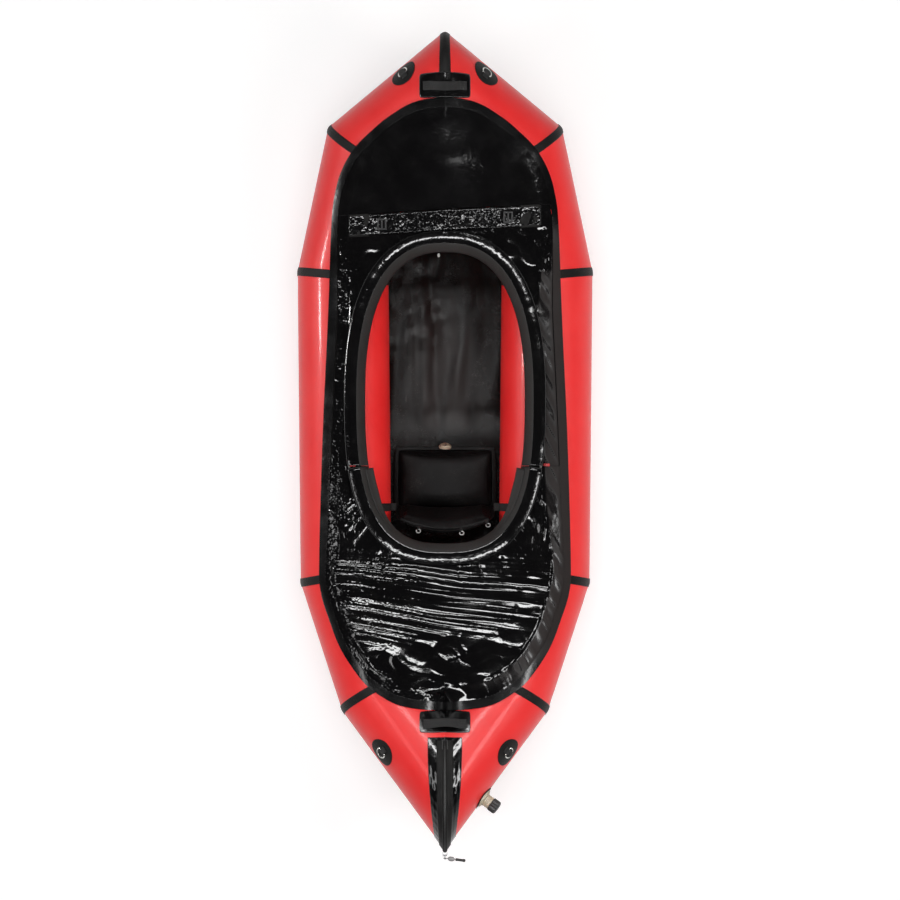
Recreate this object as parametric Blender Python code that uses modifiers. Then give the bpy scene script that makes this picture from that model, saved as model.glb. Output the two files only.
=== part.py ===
"""One-seat inflatable packraft with a spray deck, modelled at its real size.

Metres, +Z up, +Y towards the bow, +X to starboard. The origin is on the ground under the
middle of the boat. The hull is a ring of ten mitred fabric tubes. Every tape, patch and
deck panel is laid on those tubes by the functions that follow the tube surface.
"""

import math

import bmesh
import bpy
from mathutils import Matrix, Vector
from mathutils.bvhtree import BVHTree

# Hull outline: where the tube's widest line turns a corner, seen from above.
bow_reach = 1.318
stern_reach = 1.280
front_shoulder_half = 0.377
front_shoulder_y = 1.035
front_side_half = 0.480
front_side_y = 0.569
rear_side_half = 0.470
rear_side_y = -0.444
rear_shoulder_half = 0.332
rear_shoulder_y = -0.856
bow_rise = 0.140
front_shoulder_rise = 0.042
rear_shoulder_rise = 0.042
stern_rise = 0.130
tube_radius = 0.148
hull_fabric = 0.0006
tube_facets = 40
hull_clearance = 0.0004

# Spacing between sheets that are welded on top of each other.
skin_gap = 0.0003
tape_lift = 0.0011
tape_fabric = 0.0005

# Welded tapes over the joints of the hull panels.
seam_tape_width = 0.028
bow_tape_width = 0.033
side_tape_facets = 17
shoulder_tape_facets = 15
inner_tape_facets = 16

# Floor sheet and the tape that welds it to the tubes.
floor_fabric = 0.0010
floor_tape_offset = 0.016
floor_tape_width = 0.032

# Deck: outer edge as half widths and stations, in shares of the widest half and of each reach.
deck_edge_shares = [
    (0.0, 0.827), (0.204, 0.818), (0.370, 0.787), (0.486, 0.755), (0.597, 0.717),
    (0.681, 0.667), (0.728, 0.611), (0.753, 0.534), (0.777, 0.307), (0.814, 0.016),
    (0.837, -0.284), (0.827, -0.363), (0.770, -0.432), (0.689, -0.506), (0.552, -0.578),
    (0.442, -0.612), (0.319, -0.636), (0.166, -0.648), (0.0, -0.653),
]
deck_fabric = 0.0005
deck_lift = 0.0034
deck_tape_width = 0.028
deck_tape_overlap = 0.014
deck_tape_lift = 0.0028
deck_tape_step = 0.0018
deck_rings = 7
front_anchor_y = 0.400
rear_anchor_y = -0.150
loop_cells = (16, 6, 16)
loop_crowding = (1.0, 1.0, 1.3)

# Opening front half of the deck.
flap_split_y = -0.062
fold_line_y = 0.752
fold_line_slope = 0.055
flap_slot = 0.0016
flap_edge_inset = 0.031
closure_strip_width = 0.030
closure_strip_fabric = 0.0006
closure_strip_lift = 0.0020

# Cockpit coaming: egg-shaped mouth, slanting wall, lip and the rod in its hem.
mouth_half = 0.254
mouth_centre_y = 0.152
mouth_front = 0.465
mouth_rear = 0.460
mouth_front_power = 2.45
mouth_rear_power = 2.8
coaming_foot_height = 0.302
coaming_front_lift = 0.012
coaming_wall_run = 0.027
coaming_wall_height = 0.032
coaming_lip_run = 0.034
coaming_lip_drop = 0.003
coaming_fabric = 0.0010
coaming_foot_gap = 0.0022
wall_bulge_share = 0.56
hem_turn = math.radians(255)
hem_steps = 4
rod_radius = 0.0040
hem_clearance = 0.0009
coaming_joint_gap = 0.0020
rod_end_gap = 0.004

# Stow band with its two ladder-lock buckles.
stow_band_width = 0.064
stow_band_centre = -0.035
stow_band_half = 0.305
stow_band_fabric = 0.0014
stow_band_lift = 0.0004
buckle_width = 0.036
buckle_length = 0.030
buckle_thickness = 0.0045
buckle_bar = 0.005
buckle_x = 0.200
buckle_seat = 0.0009

# Grab handles: welded patch and webbing strap.
handle_patch_half = 0.080
handle_patch_fabric = 0.0008
handle_patch_lift = 0.0011
handle_patch_gap = 0.007
bow_patch_depth = 0.071
stern_patch_depth = 0.058
strap_half = 0.068
strap_free_half = 0.046
strap_width = 0.028
strap_thickness = 0.0018
strap_rise = 0.022
strap_setback = 0.031

# Lashing rings: disc patch with a webbing tunnel, and a loose ring in it.
disc_radius = 0.046
disc_fabric = 0.0008
disc_lift = 0.0009
disc_cells = 6
tunnel_width = 0.020
tunnel_length = 0.030
tunnel_fabric = 0.0013
tunnel_steps = 4
tunnel_clearance = 0.0005
ring_radius = 0.0165
ring_wire = 0.0020
ring_flat_share = 0.62
ring_steps = 18
bow_ring_along = 0.051
bow_ring_angle = math.radians(51)
stern_ring_along = 0.159
stern_ring_angle = math.radians(51)

# Inflation valve on the starboard stern tube.
valve_along = 0.006
valve_angle = math.radians(80)
valve_patch_radius = 0.040
flange_radius = 0.030
flange_height = 0.0082
flange_skirt = 0.0060
flange_bore = 0.0172
flange_chamfer = 0.0015
valve_body_radius = 0.0205
valve_body_height = 0.020
valve_stem_radius = 0.0166
valve_stem_depth = 0.006
valve_cap_radius = 0.0222
valve_cap_height = 0.028
valve_cap_flutes = 9
valve_cap_flute_depth = 0.0026
valve_chamfer = 0.0030
valve_gap = 0.0004

# Watertight zip along the stern seam.
zip_backing_width = 0.108
zip_backing_fabric = 0.0006
zip_backing_lift = 0.0014
zip_tape_width = 0.051
zip_tape_fabric = 0.0009
zip_tape_lift = 0.0035
zip_patch_gap = 0.014
zip_coil_width = 0.010
zip_coil_height = 0.0030
zip_coil_top_share = 0.6
zip_outer_angle = math.radians(97)
zip_tape_margin = math.radians(3)
slider_length = 0.026
slider_width = 0.016
slider_height = 0.009
slider_shoulder = 0.003
slider_angle = math.radians(78)
slider_last_angle = math.radians(44)
slider_clearance = 0.0004
pin_radius = 0.0018
pin_head_radius = 0.0032
pin_head = 0.0016
eye_radius = 0.0050
eye_half = 0.0016
pull_grip_radius = 0.0075
pull_grip_length = 0.024
pull_rib_depth = 0.0012
pull_cord_radius = 0.0016
pull_cord_length = 0.014
pull_neck_length = 0.006
pull_toggle_radius = 0.0050
pull_toggle_length = 0.036
pull_tilt = math.radians(38)
pull_gap = 0.0005

# Seat cushion with its small valve.
seat_half = 0.182
seat_depth = 0.250
seat_front_y = 0.012
seat_thickness = 0.072
seat_edge_thickness = 0.046
seat_draw_in = 0.007
seat_lean = 0.015
cushion_round = 0.008
cushion_corner_share = 0.05
cushion_cuts = 7
seat_valve_radius = 0.0210
seat_valve_height = 0.010
seat_valve_tilt = math.radians(68)
seat_valve_gap = 0.0006

# Backrest cushion and the webbing that holds it to the tubes.
backrest_half = 0.158
backrest_height = 0.190
backrest_thickness = 0.046
backrest_edge_thickness = 0.026
backrest_lean = math.radians(20)
backrest_wrap = 0.036
backrest_low_wrap_share = 0.35
backrest_axis_y = -0.205
backrest_seat_gap = 0.006
anchor_strap_width = 0.025
anchor_strap_thickness = 0.0020
anchor_strap_y = -0.196
anchor_strap_gap = 0.0004
anchor_start_angle = math.radians(-48)
anchor_end_angle = math.radians(-84)

merge_distance = 0.00001
smooth_angle = math.radians(40)
UP = Vector((0, 0, 1))


# Scene set-up.
for old in list(bpy.data.objects):
    bpy.data.objects.remove(old, do_unlink=True)


def new_collection(name):
    made = bpy.data.collections.new(name)
    bpy.context.scene.collection.children.link(made)
    return made


boat = new_collection("packraft")
cutters = new_collection("cutters")


def make_material(name, colour, roughness, metallic=0.0):
    made = bpy.data.materials.new(name)
    made.use_nodes = True
    shader = made.node_tree.nodes["Principled BSDF"]
    shader.inputs["Base Color"].default_value = (*colour, 1.0)
    shader.inputs["Roughness"].default_value = roughness
    shader.inputs["Metallic"].default_value = metallic
    return made


red_fabric = make_material("red_coated_fabric", (0.78, 0.045, 0.040), 0.35)
gloss_deck = make_material("gloss_black_film", (0.010, 0.010, 0.012), 0.12)
matte_tape = make_material("matte_black_tape", (0.022, 0.020, 0.020), 0.62)
floor_cloth = make_material("satin_black_floor", (0.020, 0.020, 0.022), 0.38)
webbing = make_material("black_webbing", (0.012, 0.012, 0.013), 0.75)
black_plastic = make_material("black_plastic", (0.015, 0.015, 0.016), 0.35)
beige_plastic = make_material("beige_plastic", (0.60, 0.52, 0.38), 0.40)
grey_metal = make_material("bright_ring_metal", (0.62, 0.62, 0.60), 0.28, 1.0)
glass_rod = make_material("glass_fibre_rod", (0.55, 0.55, 0.48), 0.35)
grey_plastic = make_material("grey_plastic", (0.33, 0.33, 0.34), 0.45)


def add_object(name, mesh, material):
    made = bpy.data.objects.new(name, mesh)
    boat.objects.link(made)
    made.data.materials.append(material)
    mesh.shade_smooth()
    mesh.set_sharp_from_angle(angle=smooth_angle)
    return made


def mesh_from(bm, name):
    mesh = bpy.data.meshes.new(name)
    bm.to_mesh(mesh)
    bm.free()
    return mesh


def set_pivot(made, point, parent=None):
    """Put the object's origin on its joint's axis without moving its surface."""
    made.data.transform(Matrix.Translation(-point))
    made.location = point
    if parent is not None:
        made.parent = parent
        made.matrix_parent_inverse = Matrix.Translation(-parent.location)


# The tube ring: silhouette corners moved in by one radius give the centre line.
def offset_corners(corners, distance):
    moved = []
    for index, corner in enumerate(corners):
        before = (corner - corners[index - 1]).normalized()
        after = (corners[(index + 1) % len(corners)] - corner).normalized()
        inward_before = Vector((before.y, -before.x))
        inward_after = Vector((after.y, -after.x))
        reach = distance / (1 + inward_before.dot(inward_after))
        moved.append(corner + (inward_before + inward_after) * reach)
    return moved


starboard_corners = [
    Vector((0, bow_reach)),
    Vector((front_shoulder_half, front_shoulder_y)),
    Vector((front_side_half, front_side_y)),
    Vector((rear_side_half, rear_side_y)),
    Vector((rear_shoulder_half, rear_shoulder_y)),
    Vector((0, -stern_reach)),
]
port_corners = [Vector((-c.x, c.y)) for c in reversed(starboard_corners[1:-1])]
starboard_rises = [bow_rise, front_shoulder_rise, 0, 0, rear_shoulder_rise, stern_rise]
corner_rises = starboard_rises + list(reversed(starboard_rises[1:-1]))
rest_height = floor_fabric + hull_clearance + tube_radius

corners = offset_corners(starboard_corners + port_corners, tube_radius)
vertices = [Vector((c.x, c.y, rest_height + r)) for c, r in zip(corners, corner_rises)]
panel_count = len(vertices)
directions = [(vertices[(k + 1) % panel_count] - vertices[k]).normalized()
              for k in range(panel_count)]
mitres = [(directions[k - 1] + directions[k]).normalized() for k in range(panel_count)]
tops = [(UP - d * d.z).normalized() for d in directions]
sides = [u.cross(d) for u, d in zip(tops, directions)]

starboard_names = ["bow", "front", "side", "rear", "stern"]
panel_names = ([f"{name}_tube_starboard" for name in starboard_names]
               + [f"{name}_tube_port" for name in reversed(starboard_names)])
BOW, FRONT_SHOULDER, FRONT_SIDE, REAR_SIDE, REAR_SHOULDER, STERN = range(6)


def radial(panel, angle):
    """Unit vector out of a tube: angle 0 is up, positive is outboard."""
    return tops[panel] * math.cos(angle) + sides[panel] * math.sin(angle)


def tube_point(panel, corner, along, angle, radius):
    return vertices[corner] + directions[panel] * along + radial(panel, angle) * radius


def seam_point(corner, angle, width, lift):
    """Point of a band over a mitred joint, width measured square to the joint."""
    radius = tube_radius + lift

    def crossing(at):
        out = radial(corner - 1, at) * radius
        along = -out.dot(mitres[corner]) / directions[corner - 1].dot(mitres[corner])
        return directions[corner - 1] * along + out

    panel = corner - 1 if width <= 0 else corner
    here = crossing(angle)
    step = smooth_angle / 100
    ahead = crossing(angle + step)
    flat = []
    for spot in (here, ahead):
        turn = math.atan2(spot.dot(sides[panel]), spot.dot(tops[panel]))
        flat.append((spot.dot(directions[panel]), turn))
    turn_step = (flat[1][1] - flat[0][1] + math.pi) % (2 * math.pi) - math.pi
    tangent = Vector((flat[1][0] - flat[0][0], turn_step * radius))
    across = Vector((tangent.y, -tangent.x)).normalized()
    if across.x * width < 0:
        across = -across
    across *= abs(width)
    return tube_point(panel, corner, flat[0][0] + across.x,
                      flat[0][1] + across.y / radius, radius)


def hull_point(x, y, lift):
    """Highest point above (x, y) of a tube ring that is larger by the lift."""
    best = None
    for k in range(panel_count):
        start, along = vertices[k], directions[k]
        offset = Vector((x - start.x, y - start.y, 0))
        run = offset.dot(along)
        a = 1 - along.z ** 2
        b = -2 * along.z * run
        c = offset.length_squared - run ** 2 - (tube_radius + lift) ** 2
        root = b * b - 4 * a * c
        if root < 0:
            continue
        point = start + offset + UP * ((-b + math.sqrt(root)) / (2 * a))
        past_start = (point - start).dot(mitres[k])
        past_end = (point - vertices[(k + 1) % panel_count]).dot(mitres[(k + 1) % panel_count])
        if past_start < -merge_distance or past_end > merge_distance:
            continue
        if best is None or point.z > best.z:
            best = point
    return best


def on_hull(x, y, lift):
    """As hull_point, held at the tube's side where (x, y) is outside its plan."""
    found = hull_point(x, y, lift)
    shrink = 1.0
    while found is None and shrink > 0.5:
        shrink -= 0.01
        found = hull_point(x * shrink, y, lift)
    return found if found is not None else Vector((x, y, rest_height))


# Builders shared by the sheets, cushions and turned pieces.
def sheet(name, columns, rows, place, thickness, material, closed=False):
    """Grid laid by place(u, v, lift) and thickened away from what carries it."""
    bm = bmesh.new()
    bmesh.ops.create_grid(bm, x_segments=columns, y_segments=rows, size=0.5)
    for vert in bm.verts:
        vert.co = place(vert.co.x + 0.5, vert.co.y + 0.5, 0.0)
    if closed:
        bmesh.ops.remove_doubles(bm, verts=bm.verts, dist=merge_distance)
    outward = place(0.5, 0.5, thickness) - place(0.5, 0.5, 0.0)
    bm.normal_update()
    middle = min(bm.faces, key=lambda f: (f.calc_center_median() - place(0.5, 0.5, 0.0)).length)
    if middle.normal.dot(outward) < 0:
        bmesh.ops.reverse_faces(bm, faces=bm.faces)
    return thicken(add_object(name, mesh_from(bm, name), material), thickness)


def thicken(made, thickness):
    solid = made.modifiers.new("thickness", 'SOLIDIFY')
    solid.thickness = thickness
    solid.offset = 1.0
    solid.use_even_offset = True
    return made


def applied(made):
    """Mesh of an object with its modifiers, replacing the object's own."""
    graph = bpy.context.evaluated_depsgraph_get()
    mesh = bpy.data.meshes.new_from_object(made.evaluated_get(graph))
    made.modifiers.clear()
    made.data = mesh
    return mesh


def axis_frame(origin, axis, hint=UP):
    """Matrix whose Z is the axis, for pieces that are turned about it."""
    side = hint.cross(axis).normalized()
    up = axis.cross(side)
    frame = Matrix((side, up, axis)).transposed().to_4x4()
    frame.translation = origin
    return frame


def turned(name, profile, frame, material, steps, closed=False):
    """Profile of (radius, height) pairs, top to bottom, spun about the frame's Z."""
    bm = bmesh.new()
    verts = [bm.verts.new((radius, 0, height)) for radius, height in profile]
    for first, second in zip(verts, verts[1:]):
        bm.edges.new((first, second))
    if closed:
        bm.edges.new((verts[-1], verts[0]))
    made = add_object(name, mesh_from(bm, name), material)
    spin = made.modifiers.new("turning", 'SCREW')
    spin.axis = 'Z'
    spin.steps = steps
    spin.render_steps = steps
    spin.use_merge_vertices = True
    spin.merge_threshold = merge_distance
    made.matrix_world = frame
    return made


def wire(name, points, radius, material, sides_of_wire, closed=False):
    curve = bpy.data.curves.new(name, 'CURVE')
    curve.dimensions = '3D'
    curve.bevel_depth = radius
    curve.bevel_resolution = sides_of_wire
    curve.use_fill_caps = not closed
    spline = curve.splines.new('POLY')
    spline.use_cyclic_u = closed
    spline.points.add(len(points) - 1)
    for spot, point in zip(spline.points, points):
        spot.co = (*point, 1)
    made = bpy.data.objects.new(name, curve)
    boat.objects.link(made)
    curve.materials.append(material)
    return made


def boolean(made, other, operation):
    """Cut or join an object with a helper, which moves to the hidden collection."""
    boat_members = boat.objects
    if other.name in boat_members:
        boat_members.unlink(other)
    cutters.objects.link(other)
    other.hide_render = True
    other.display_type = 'WIRE'
    step = made.modifiers.new(other.name, 'BOOLEAN')
    step.operation = operation
    step.solver = 'EXACT'
    step.object = other


def prism(name, outline, frame, half_length, material):
    """Outline of (across, up) pairs, extruded both ways along the frame's Y."""
    bm = bmesh.new()
    face = bm.faces.new([bm.verts.new((x, -half_length, z)) for x, z in outline])
    grown = bmesh.ops.extrude_face_region(bm, geom=[face])["geom"]
    for vert in grown:
        if isinstance(vert, bmesh.types.BMVert):
            vert.co.y = half_length
    bmesh.ops.recalc_face_normals(bm, faces=bm.faces)
    made = add_object(name, mesh_from(bm, name), material)
    made.matrix_world = frame
    return made


# Hull tubes: a cylinder cut at both mitre planes, with its bore taken out.
def cylinder(radius, length, frame):
    bm = bmesh.new()
    bmesh.ops.create_cone(bm, segments=tube_facets, radius1=radius, radius2=radius,
                          depth=length, cap_ends=True, matrix=frame)
    return bm


def make_tube(panel):
    start, end = panel, (panel + 1) % panel_count
    axis = directions[panel]
    name = panel_names[panel]
    length = (vertices[end] - vertices[start]).length + 8 * tube_radius
    frame = Matrix((sides[panel], tops[panel], axis)).transposed().to_4x4()
    frame.translation = (vertices[start] + vertices[end]) / 2
    bm = cylinder(tube_radius, length, frame)
    for corner, sign in ((start, 1), (end, -1)):
        plane = mitres[corner] * sign
        cut = bmesh.ops.bisect_plane(bm, geom=bm.verts[:] + bm.edges[:] + bm.faces[:],
                                     plane_co=vertices[corner] + plane * hull_clearance / 2,
                                     plane_no=plane, clear_inner=True)
        rim = [e for e in cut["geom_cut"] if isinstance(e, bmesh.types.BMEdge)]
        bmesh.ops.edgeloop_fill(bm, edges=rim)
    bmesh.ops.recalc_face_normals(bm, faces=bm.faces)
    made = add_object(name, mesh_from(bm, name), red_fabric)
    bore_mesh = mesh_from(cylinder(tube_radius - hull_fabric, 2 * length, frame), name)
    boolean(made, bpy.data.objects.new(f"{name}_bore", bore_mesh), 'DIFFERENCE')
    return made


for panel in range(panel_count):
    make_tube(panel)


# Tapes over the joints between the tubes, with a fold at each facet of the tube.
facet = 2 * math.pi / tube_facets


def seam_tape(name, corner, width, first, last):
    """Tape between two angles, each in whole facets outboard of the top."""
    def place(u, v, lift):
        angle = facet * (first + (last - first) * u)
        return seam_point(corner, angle, (v - 0.5) * width, tape_lift + lift)

    columns = math.ceil(last - first)
    return sheet(name, columns, 2, place, tape_fabric, matte_tape)


for label, corner, last in (("front_shoulder", FRONT_SHOULDER, shoulder_tape_facets),
                            ("front_side", FRONT_SIDE, side_tape_facets),
                            ("rear_side", REAR_SIDE, side_tape_facets),
                            ("rear_shoulder", REAR_SHOULDER, shoulder_tape_facets)):
    for side, place_of in (("starboard", corner), ("port", panel_count - corner)):
        seam_tape(f"{label}_tape_{side}", place_of, seam_tape_width, -inner_tape_facets, last)


def seam_angle_at(corner, y, lift):
    """Angle on the bow's or stern's joint where its curve passes a station."""
    low, high = -math.pi / 2, math.pi / 2
    outboard = -1 if corner == BOW else 1
    for _ in range(tube_facets):
        middle = (low + high) / 2
        if (y - seam_point(corner, middle, 0, lift).y) * outboard < 0:
            low = middle
        else:
            high = middle
    return low


def deck_reach(share):
    return share * (bow_reach if share > 0 else stern_reach)


bow_patch_rear = deck_reach(deck_edge_shares[0][1]) + handle_patch_gap
bow_patch_front = bow_patch_rear + bow_patch_depth
stern_patch_front = deck_reach(deck_edge_shares[-1][1]) - handle_patch_gap
stern_patch_rear = stern_patch_front - stern_patch_depth
bow_tape_start = seam_angle_at(BOW, bow_patch_front + skin_gap, tape_lift) / facet
seam_tape("bow_tape", BOW, bow_tape_width, bow_tape_start, shoulder_tape_facets)


# Floor: a flat sheet across the undersides of the tubes, folded up at both ends.
def offset_profile(points, distance):
    """Open line in the Y-Z plane moved down square to itself."""
    moved = []
    for index, point in enumerate(points):
        before = points[index] - points[index - 1] if index else points[1] - points[0]
        after = points[index + 1] - point if index + 1 < len(points) else before
        down_before = Vector((before.y, -before.x)).normalized()
        down_after = Vector((after.y, -after.x)).normalized()
        reach = distance / (1 + down_before.dot(down_after))
        moved.append(point + (down_before + down_after) * reach)
    return moved


def down_profile(distance):
    line = [Vector((vertices[k].y, vertices[k].z)) for k in range(STERN, -1, -1)]
    return [Vector((p.x, p.y)) for p in offset_profile(line, distance)]


def make_floor():
    bottom = down_profile(tube_radius + hull_clearance + floor_fabric)
    top = down_profile(tube_radius + hull_clearance)
    halves = [abs(vertices[k].x) for k in range(STERN, -1, -1)]
    bm = bmesh.new()
    loops = []
    for line in (bottom, top):
        rows = []
        for spot, half in zip(line, halves):
            if half < merge_distance:
                rows.append([bm.verts.new((0, spot.x, spot.y))])
            else:
                rows.append([bm.verts.new((x, spot.x, spot.y)) for x in (-half, half)])
        loops.append(rows)
    under, over = loops
    for rows, flip in ((under, True), (over, False)):
        for first, second in zip(rows, rows[1:]):
            ring = first + list(reversed(second))
            bm.faces.new(list(reversed(ring)) if flip else ring)
    for low, high in ((under, over),):
        for side_index in (0, -1):
            for k in range(len(low) - 1):
                bm.faces.new((low[k][side_index], low[k + 1][side_index],
                              high[k + 1][side_index], high[k][side_index]))
    bmesh.ops.recalc_face_normals(bm, faces=bm.faces)
    return add_object("floor", mesh_from(bm, "floor"), floor_cloth)


make_floor()


def panel_angle(panel, corner, point):
    """Angle on one tube of a point near it, measured from the corner."""
    out = point - vertices[corner]
    return math.atan2(out.dot(sides[panel]), out.dot(tops[panel]))


def floor_touch_angle(panel):
    """Angle at which a tube lies on the floor sheet, which stays level from side to side."""
    along = directions[panel]
    down = Vector((0, along.z, -along.y))
    down = down if down.z < 0 else -down
    return math.atan2(down.dot(sides[panel]), down.dot(tops[panel]))


def floor_tape_angle(corner, inset):
    """Angle of the tape's edge at a joint, on the tube before it."""
    before = floor_touch_angle(corner - 1)
    after = floor_touch_angle(corner)
    shift = panel_angle(corner, corner, seam_point(corner, before, 0, 0)) - before
    return (before + after - shift) / 2 - inset / tube_radius


floor_tape_cells = 3


def floor_tape_place(u, v, lift):
    spot = u * panel_count
    panel = int(spot + merge_distance) % panel_count
    share = spot + merge_distance - int(spot + merge_distance)
    inset = floor_tape_offset + floor_tape_width * v
    end_corner = (panel + 1) % panel_count
    radius_lift = tape_lift + lift
    start_point = seam_point(panel, floor_tape_angle(panel, inset), 0, radius_lift)
    end_point = seam_point(end_corner, floor_tape_angle(end_corner, inset), 0, radius_lift)
    first = panel_angle(panel, panel, start_point)
    last = panel_angle(panel, end_corner, end_point)
    along_first = (start_point - vertices[panel]).dot(directions[panel])
    along_last = (end_point - vertices[panel]).dot(directions[panel])
    return tube_point(panel, panel, along_first + (along_last - along_first) * share,
                      first + (last - first) * share, tube_radius + radius_lift)


sheet("floor_tape", panel_count * floor_tape_cells, 2, floor_tape_place, tape_fabric,
      matte_tape, closed=True)


# Closed loops for the deck's outer edge and the coaming, starboard half from front to rear.
def smooth_line(points, cells):
    """Catmull-Rom curve through points, mirrored at both ends so that it closes squarely."""
    ends = ([Vector((-points[1].x, points[1].y))] + points
            + [Vector((-points[-2].x, points[-2].y))])
    line = []
    for a, b, c, d in zip(ends, ends[1:], ends[2:], ends[3:]):
        for step in range(cells):
            t = step / cells
            line.append(0.5 * (2 * b + (c - a) * t + (2 * a - 5 * b + 4 * c - d) * t ** 2
                               + (3 * b - a - 3 * c + d) * t ** 3))
    line.append(points[-1])
    return line


def resampled(line, cells, crowding):
    """Points along a line, closer together towards its end where crowding is above one."""
    lengths = [0.0]
    for first, second in zip(line, line[1:]):
        lengths.append(lengths[-1] + (second - first).length)
    made = []
    index = 0
    for step in range(cells + 1):
        target = lengths[-1] * (1 - (1 - step / cells) ** crowding)
        while index + 2 < len(lengths) and lengths[index + 1] < target:
            index += 1
        span = max(lengths[index + 1] - lengths[index], merge_distance)
        made.append(line[index].lerp(line[index + 1], (target - lengths[index]) / span))
    return made


def anchored_loop(line):
    """Whole loop whose points pair up, station by station, with any other such loop."""
    def split_at(level):
        return next(i for i, p in enumerate(line) if p.y < level)

    first, second = split_at(front_anchor_y), split_at(rear_anchor_y)
    spans = (line[:first + 1], line[first:second + 1], line[second:])
    half = [spans[0][0]]
    for span, cells, crowding in zip(spans, loop_cells, loop_crowding):
        half += resampled(span, cells, crowding)[1:]
    port = [Vector((-p.x, p.y)) for p in reversed(half[1:-1])]
    return half + port


def inset_loop(loop, distance):
    """Loop moved inwards (or outwards for a negative distance), square to itself."""
    moved = []
    for index, point in enumerate(loop):
        tangent = (loop[(index + 1) % len(loop)] - loop[index - 1]).normalized()
        moved.append(point + Vector((tangent.y, -tangent.x)) * distance)
    return moved


def egg_line(cells):
    line = []
    for step in range(cells + 1):
        turn = math.pi / 2 - math.pi * step / cells
        front = turn >= 0
        power = mouth_front_power if front else mouth_rear_power
        reach = mouth_front if front else mouth_rear
        x = mouth_half * max(math.cos(turn), 0.0) ** (2 / power)
        y = mouth_centre_y + reach * math.copysign(abs(math.sin(turn)) ** (2 / power), turn)
        line.append(Vector((x, y)))
    return line


edge_points =[Vector((x * front_side_half, deck_reach(y))) for x, y in deck_edge_shares]
fine_cells = 12
edge_loop = anchored_loop(smooth_line(edge_points, fine_cells))
mouth_line = egg_line(fine_cells ** 2)
mouth_loop = anchored_loop(mouth_line)
loop_count = len(edge_loop)
mouth_front_y = mouth_centre_y + mouth_front


def foot_height(y):
    """Height of the coaming's foot, a little higher towards the bow."""
    share = max(0.0, (y - mouth_centre_y) / mouth_front)
    return coaming_foot_height + coaming_front_lift * share ** 2


# Deck panels: rays of points from the welded edge in to the coaming's foot.
def deck_spot(index, inset, lift):
    """Point of the deck on one ray, at a distance in from the edge."""
    edge, inner = edge_loop[index], mouth_loop[index]
    share = inset / (inner - edge).length
    spot = edge.lerp(inner, share)
    edge_height = on_hull(edge.x, edge.y, deck_lift).z
    height = edge_height + (foot_height(inner.y) - edge_height) * share
    tube = hull_point(spot.x, spot.y, deck_lift)
    if tube is not None:
        height = max(height, tube.z)
    return Vector((spot.x, spot.y, height + lift))


def deck_panel(name, inset, cuts):
    """Part of the deck ring that is left after the cuts, each a point and a normal."""
    def place(u, v, lift):
        index = int(round(u * loop_count)) % loop_count
        span = (mouth_loop[index] - edge_loop[index]).length
        return deck_spot(index, inset + (span - inset) * v ** 2, lift)

    made = sheet(name, loop_count, deck_rings, place, deck_fabric, gloss_deck, closed=True)
    bm = bmesh.new()
    bm.from_mesh(made.data)
    bmesh.ops.triangulate(bm, faces=bm.faces)
    for point, normal in cuts:
        bmesh.ops.bisect_plane(bm, geom=bm.verts[:] + bm.edges[:] + bm.faces[:],
                               plane_co=point, plane_no=normal, clear_inner=True)
    bm.to_mesh(made.data)
    bm.free()
    return made


fold_direction = Vector((1, fold_line_slope, 0)).normalized()
fold_normal = Vector((-fold_direction.y, fold_direction.x, 0))
fold_point = Vector((0, fold_line_y, 0))
split_point = Vector((0, flap_split_y, 0))
BOWWARD = Vector((0, 1, 0))
fixed_inset = deck_tape_width - deck_tape_overlap
deck_panel("bow_deck", fixed_inset, [(fold_point + fold_normal * flap_slot / 2, fold_normal)])
flap = deck_panel("deck_flap", flap_edge_inset,
                  [(fold_point - fold_normal * flap_slot / 2, -fold_normal),
                   (split_point + BOWWARD * flap_slot / 2, BOWWARD)])
deck_panel("rear_deck", fixed_inset, [(split_point - BOWWARD * flap_slot / 2, -BOWWARD)])


def deck_height_at(y):
    """Deck height on the centre line ahead of the coaming."""
    edge_height = on_hull(0, edge_loop[0].y, deck_lift).z
    share = (y - mouth_front_y) / (edge_loop[0].y - mouth_front_y)
    return foot_height(mouth_front_y) * (1 - share) + edge_height * share


fold_axis = Vector((0, fold_line_y, deck_height_at(fold_line_y)))
set_pivot(flap, fold_axis)

# Tape over the welded edge: its outer part on the tubes, its inner part on the deck.
deck_tape_shares = (0.0, 0.30, 0.60, 1.0)


def deck_tape_place(u, v, lift):
    index = int(round(u * loop_count)) % loop_count
    step = int(round(v * (len(deck_tape_shares) - 1)))
    if step == 0:
        return on_hull(edge_loop[index].x, edge_loop[index].y, deck_tape_lift + lift)
    inset = deck_tape_width * deck_tape_shares[step]
    return deck_spot(index, inset, deck_tape_step + lift)


sheet("deck_tape", loop_count, len(deck_tape_shares) - 1, deck_tape_place, tape_fabric,
      matte_tape, closed=True)


# Hook-and-loop strips on the tubes, under the edges of the opening half of the deck.
def closure_strip(name, side_sign):
    front_y = fold_line_y - seam_tape_width
    indices = [i for i, p in enumerate(edge_loop)
               if p.x * side_sign > 0 and flap_split_y < p.y < front_y]
    count = len(indices) - 1

    def place(u, v, lift):
        index = indices[int(round(u * count))]
        edge, inner = edge_loop[index], mouth_loop[index]
        inset = flap_edge_inset + closure_strip_width * v
        spot = edge.lerp(inner, inset / (inner - edge).length)
        return on_hull(spot.x, spot.y, closure_strip_lift + lift)

    return sheet(name, count, 2, place, closure_strip_fabric, matte_tape)


# Coaming: one strip of fabric from the foot, up the wall, over the lip and round the rod.
hem_radius = rod_radius + hem_clearance + coaming_fabric
lip_run_end = coaming_wall_run + coaming_lip_run


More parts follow.
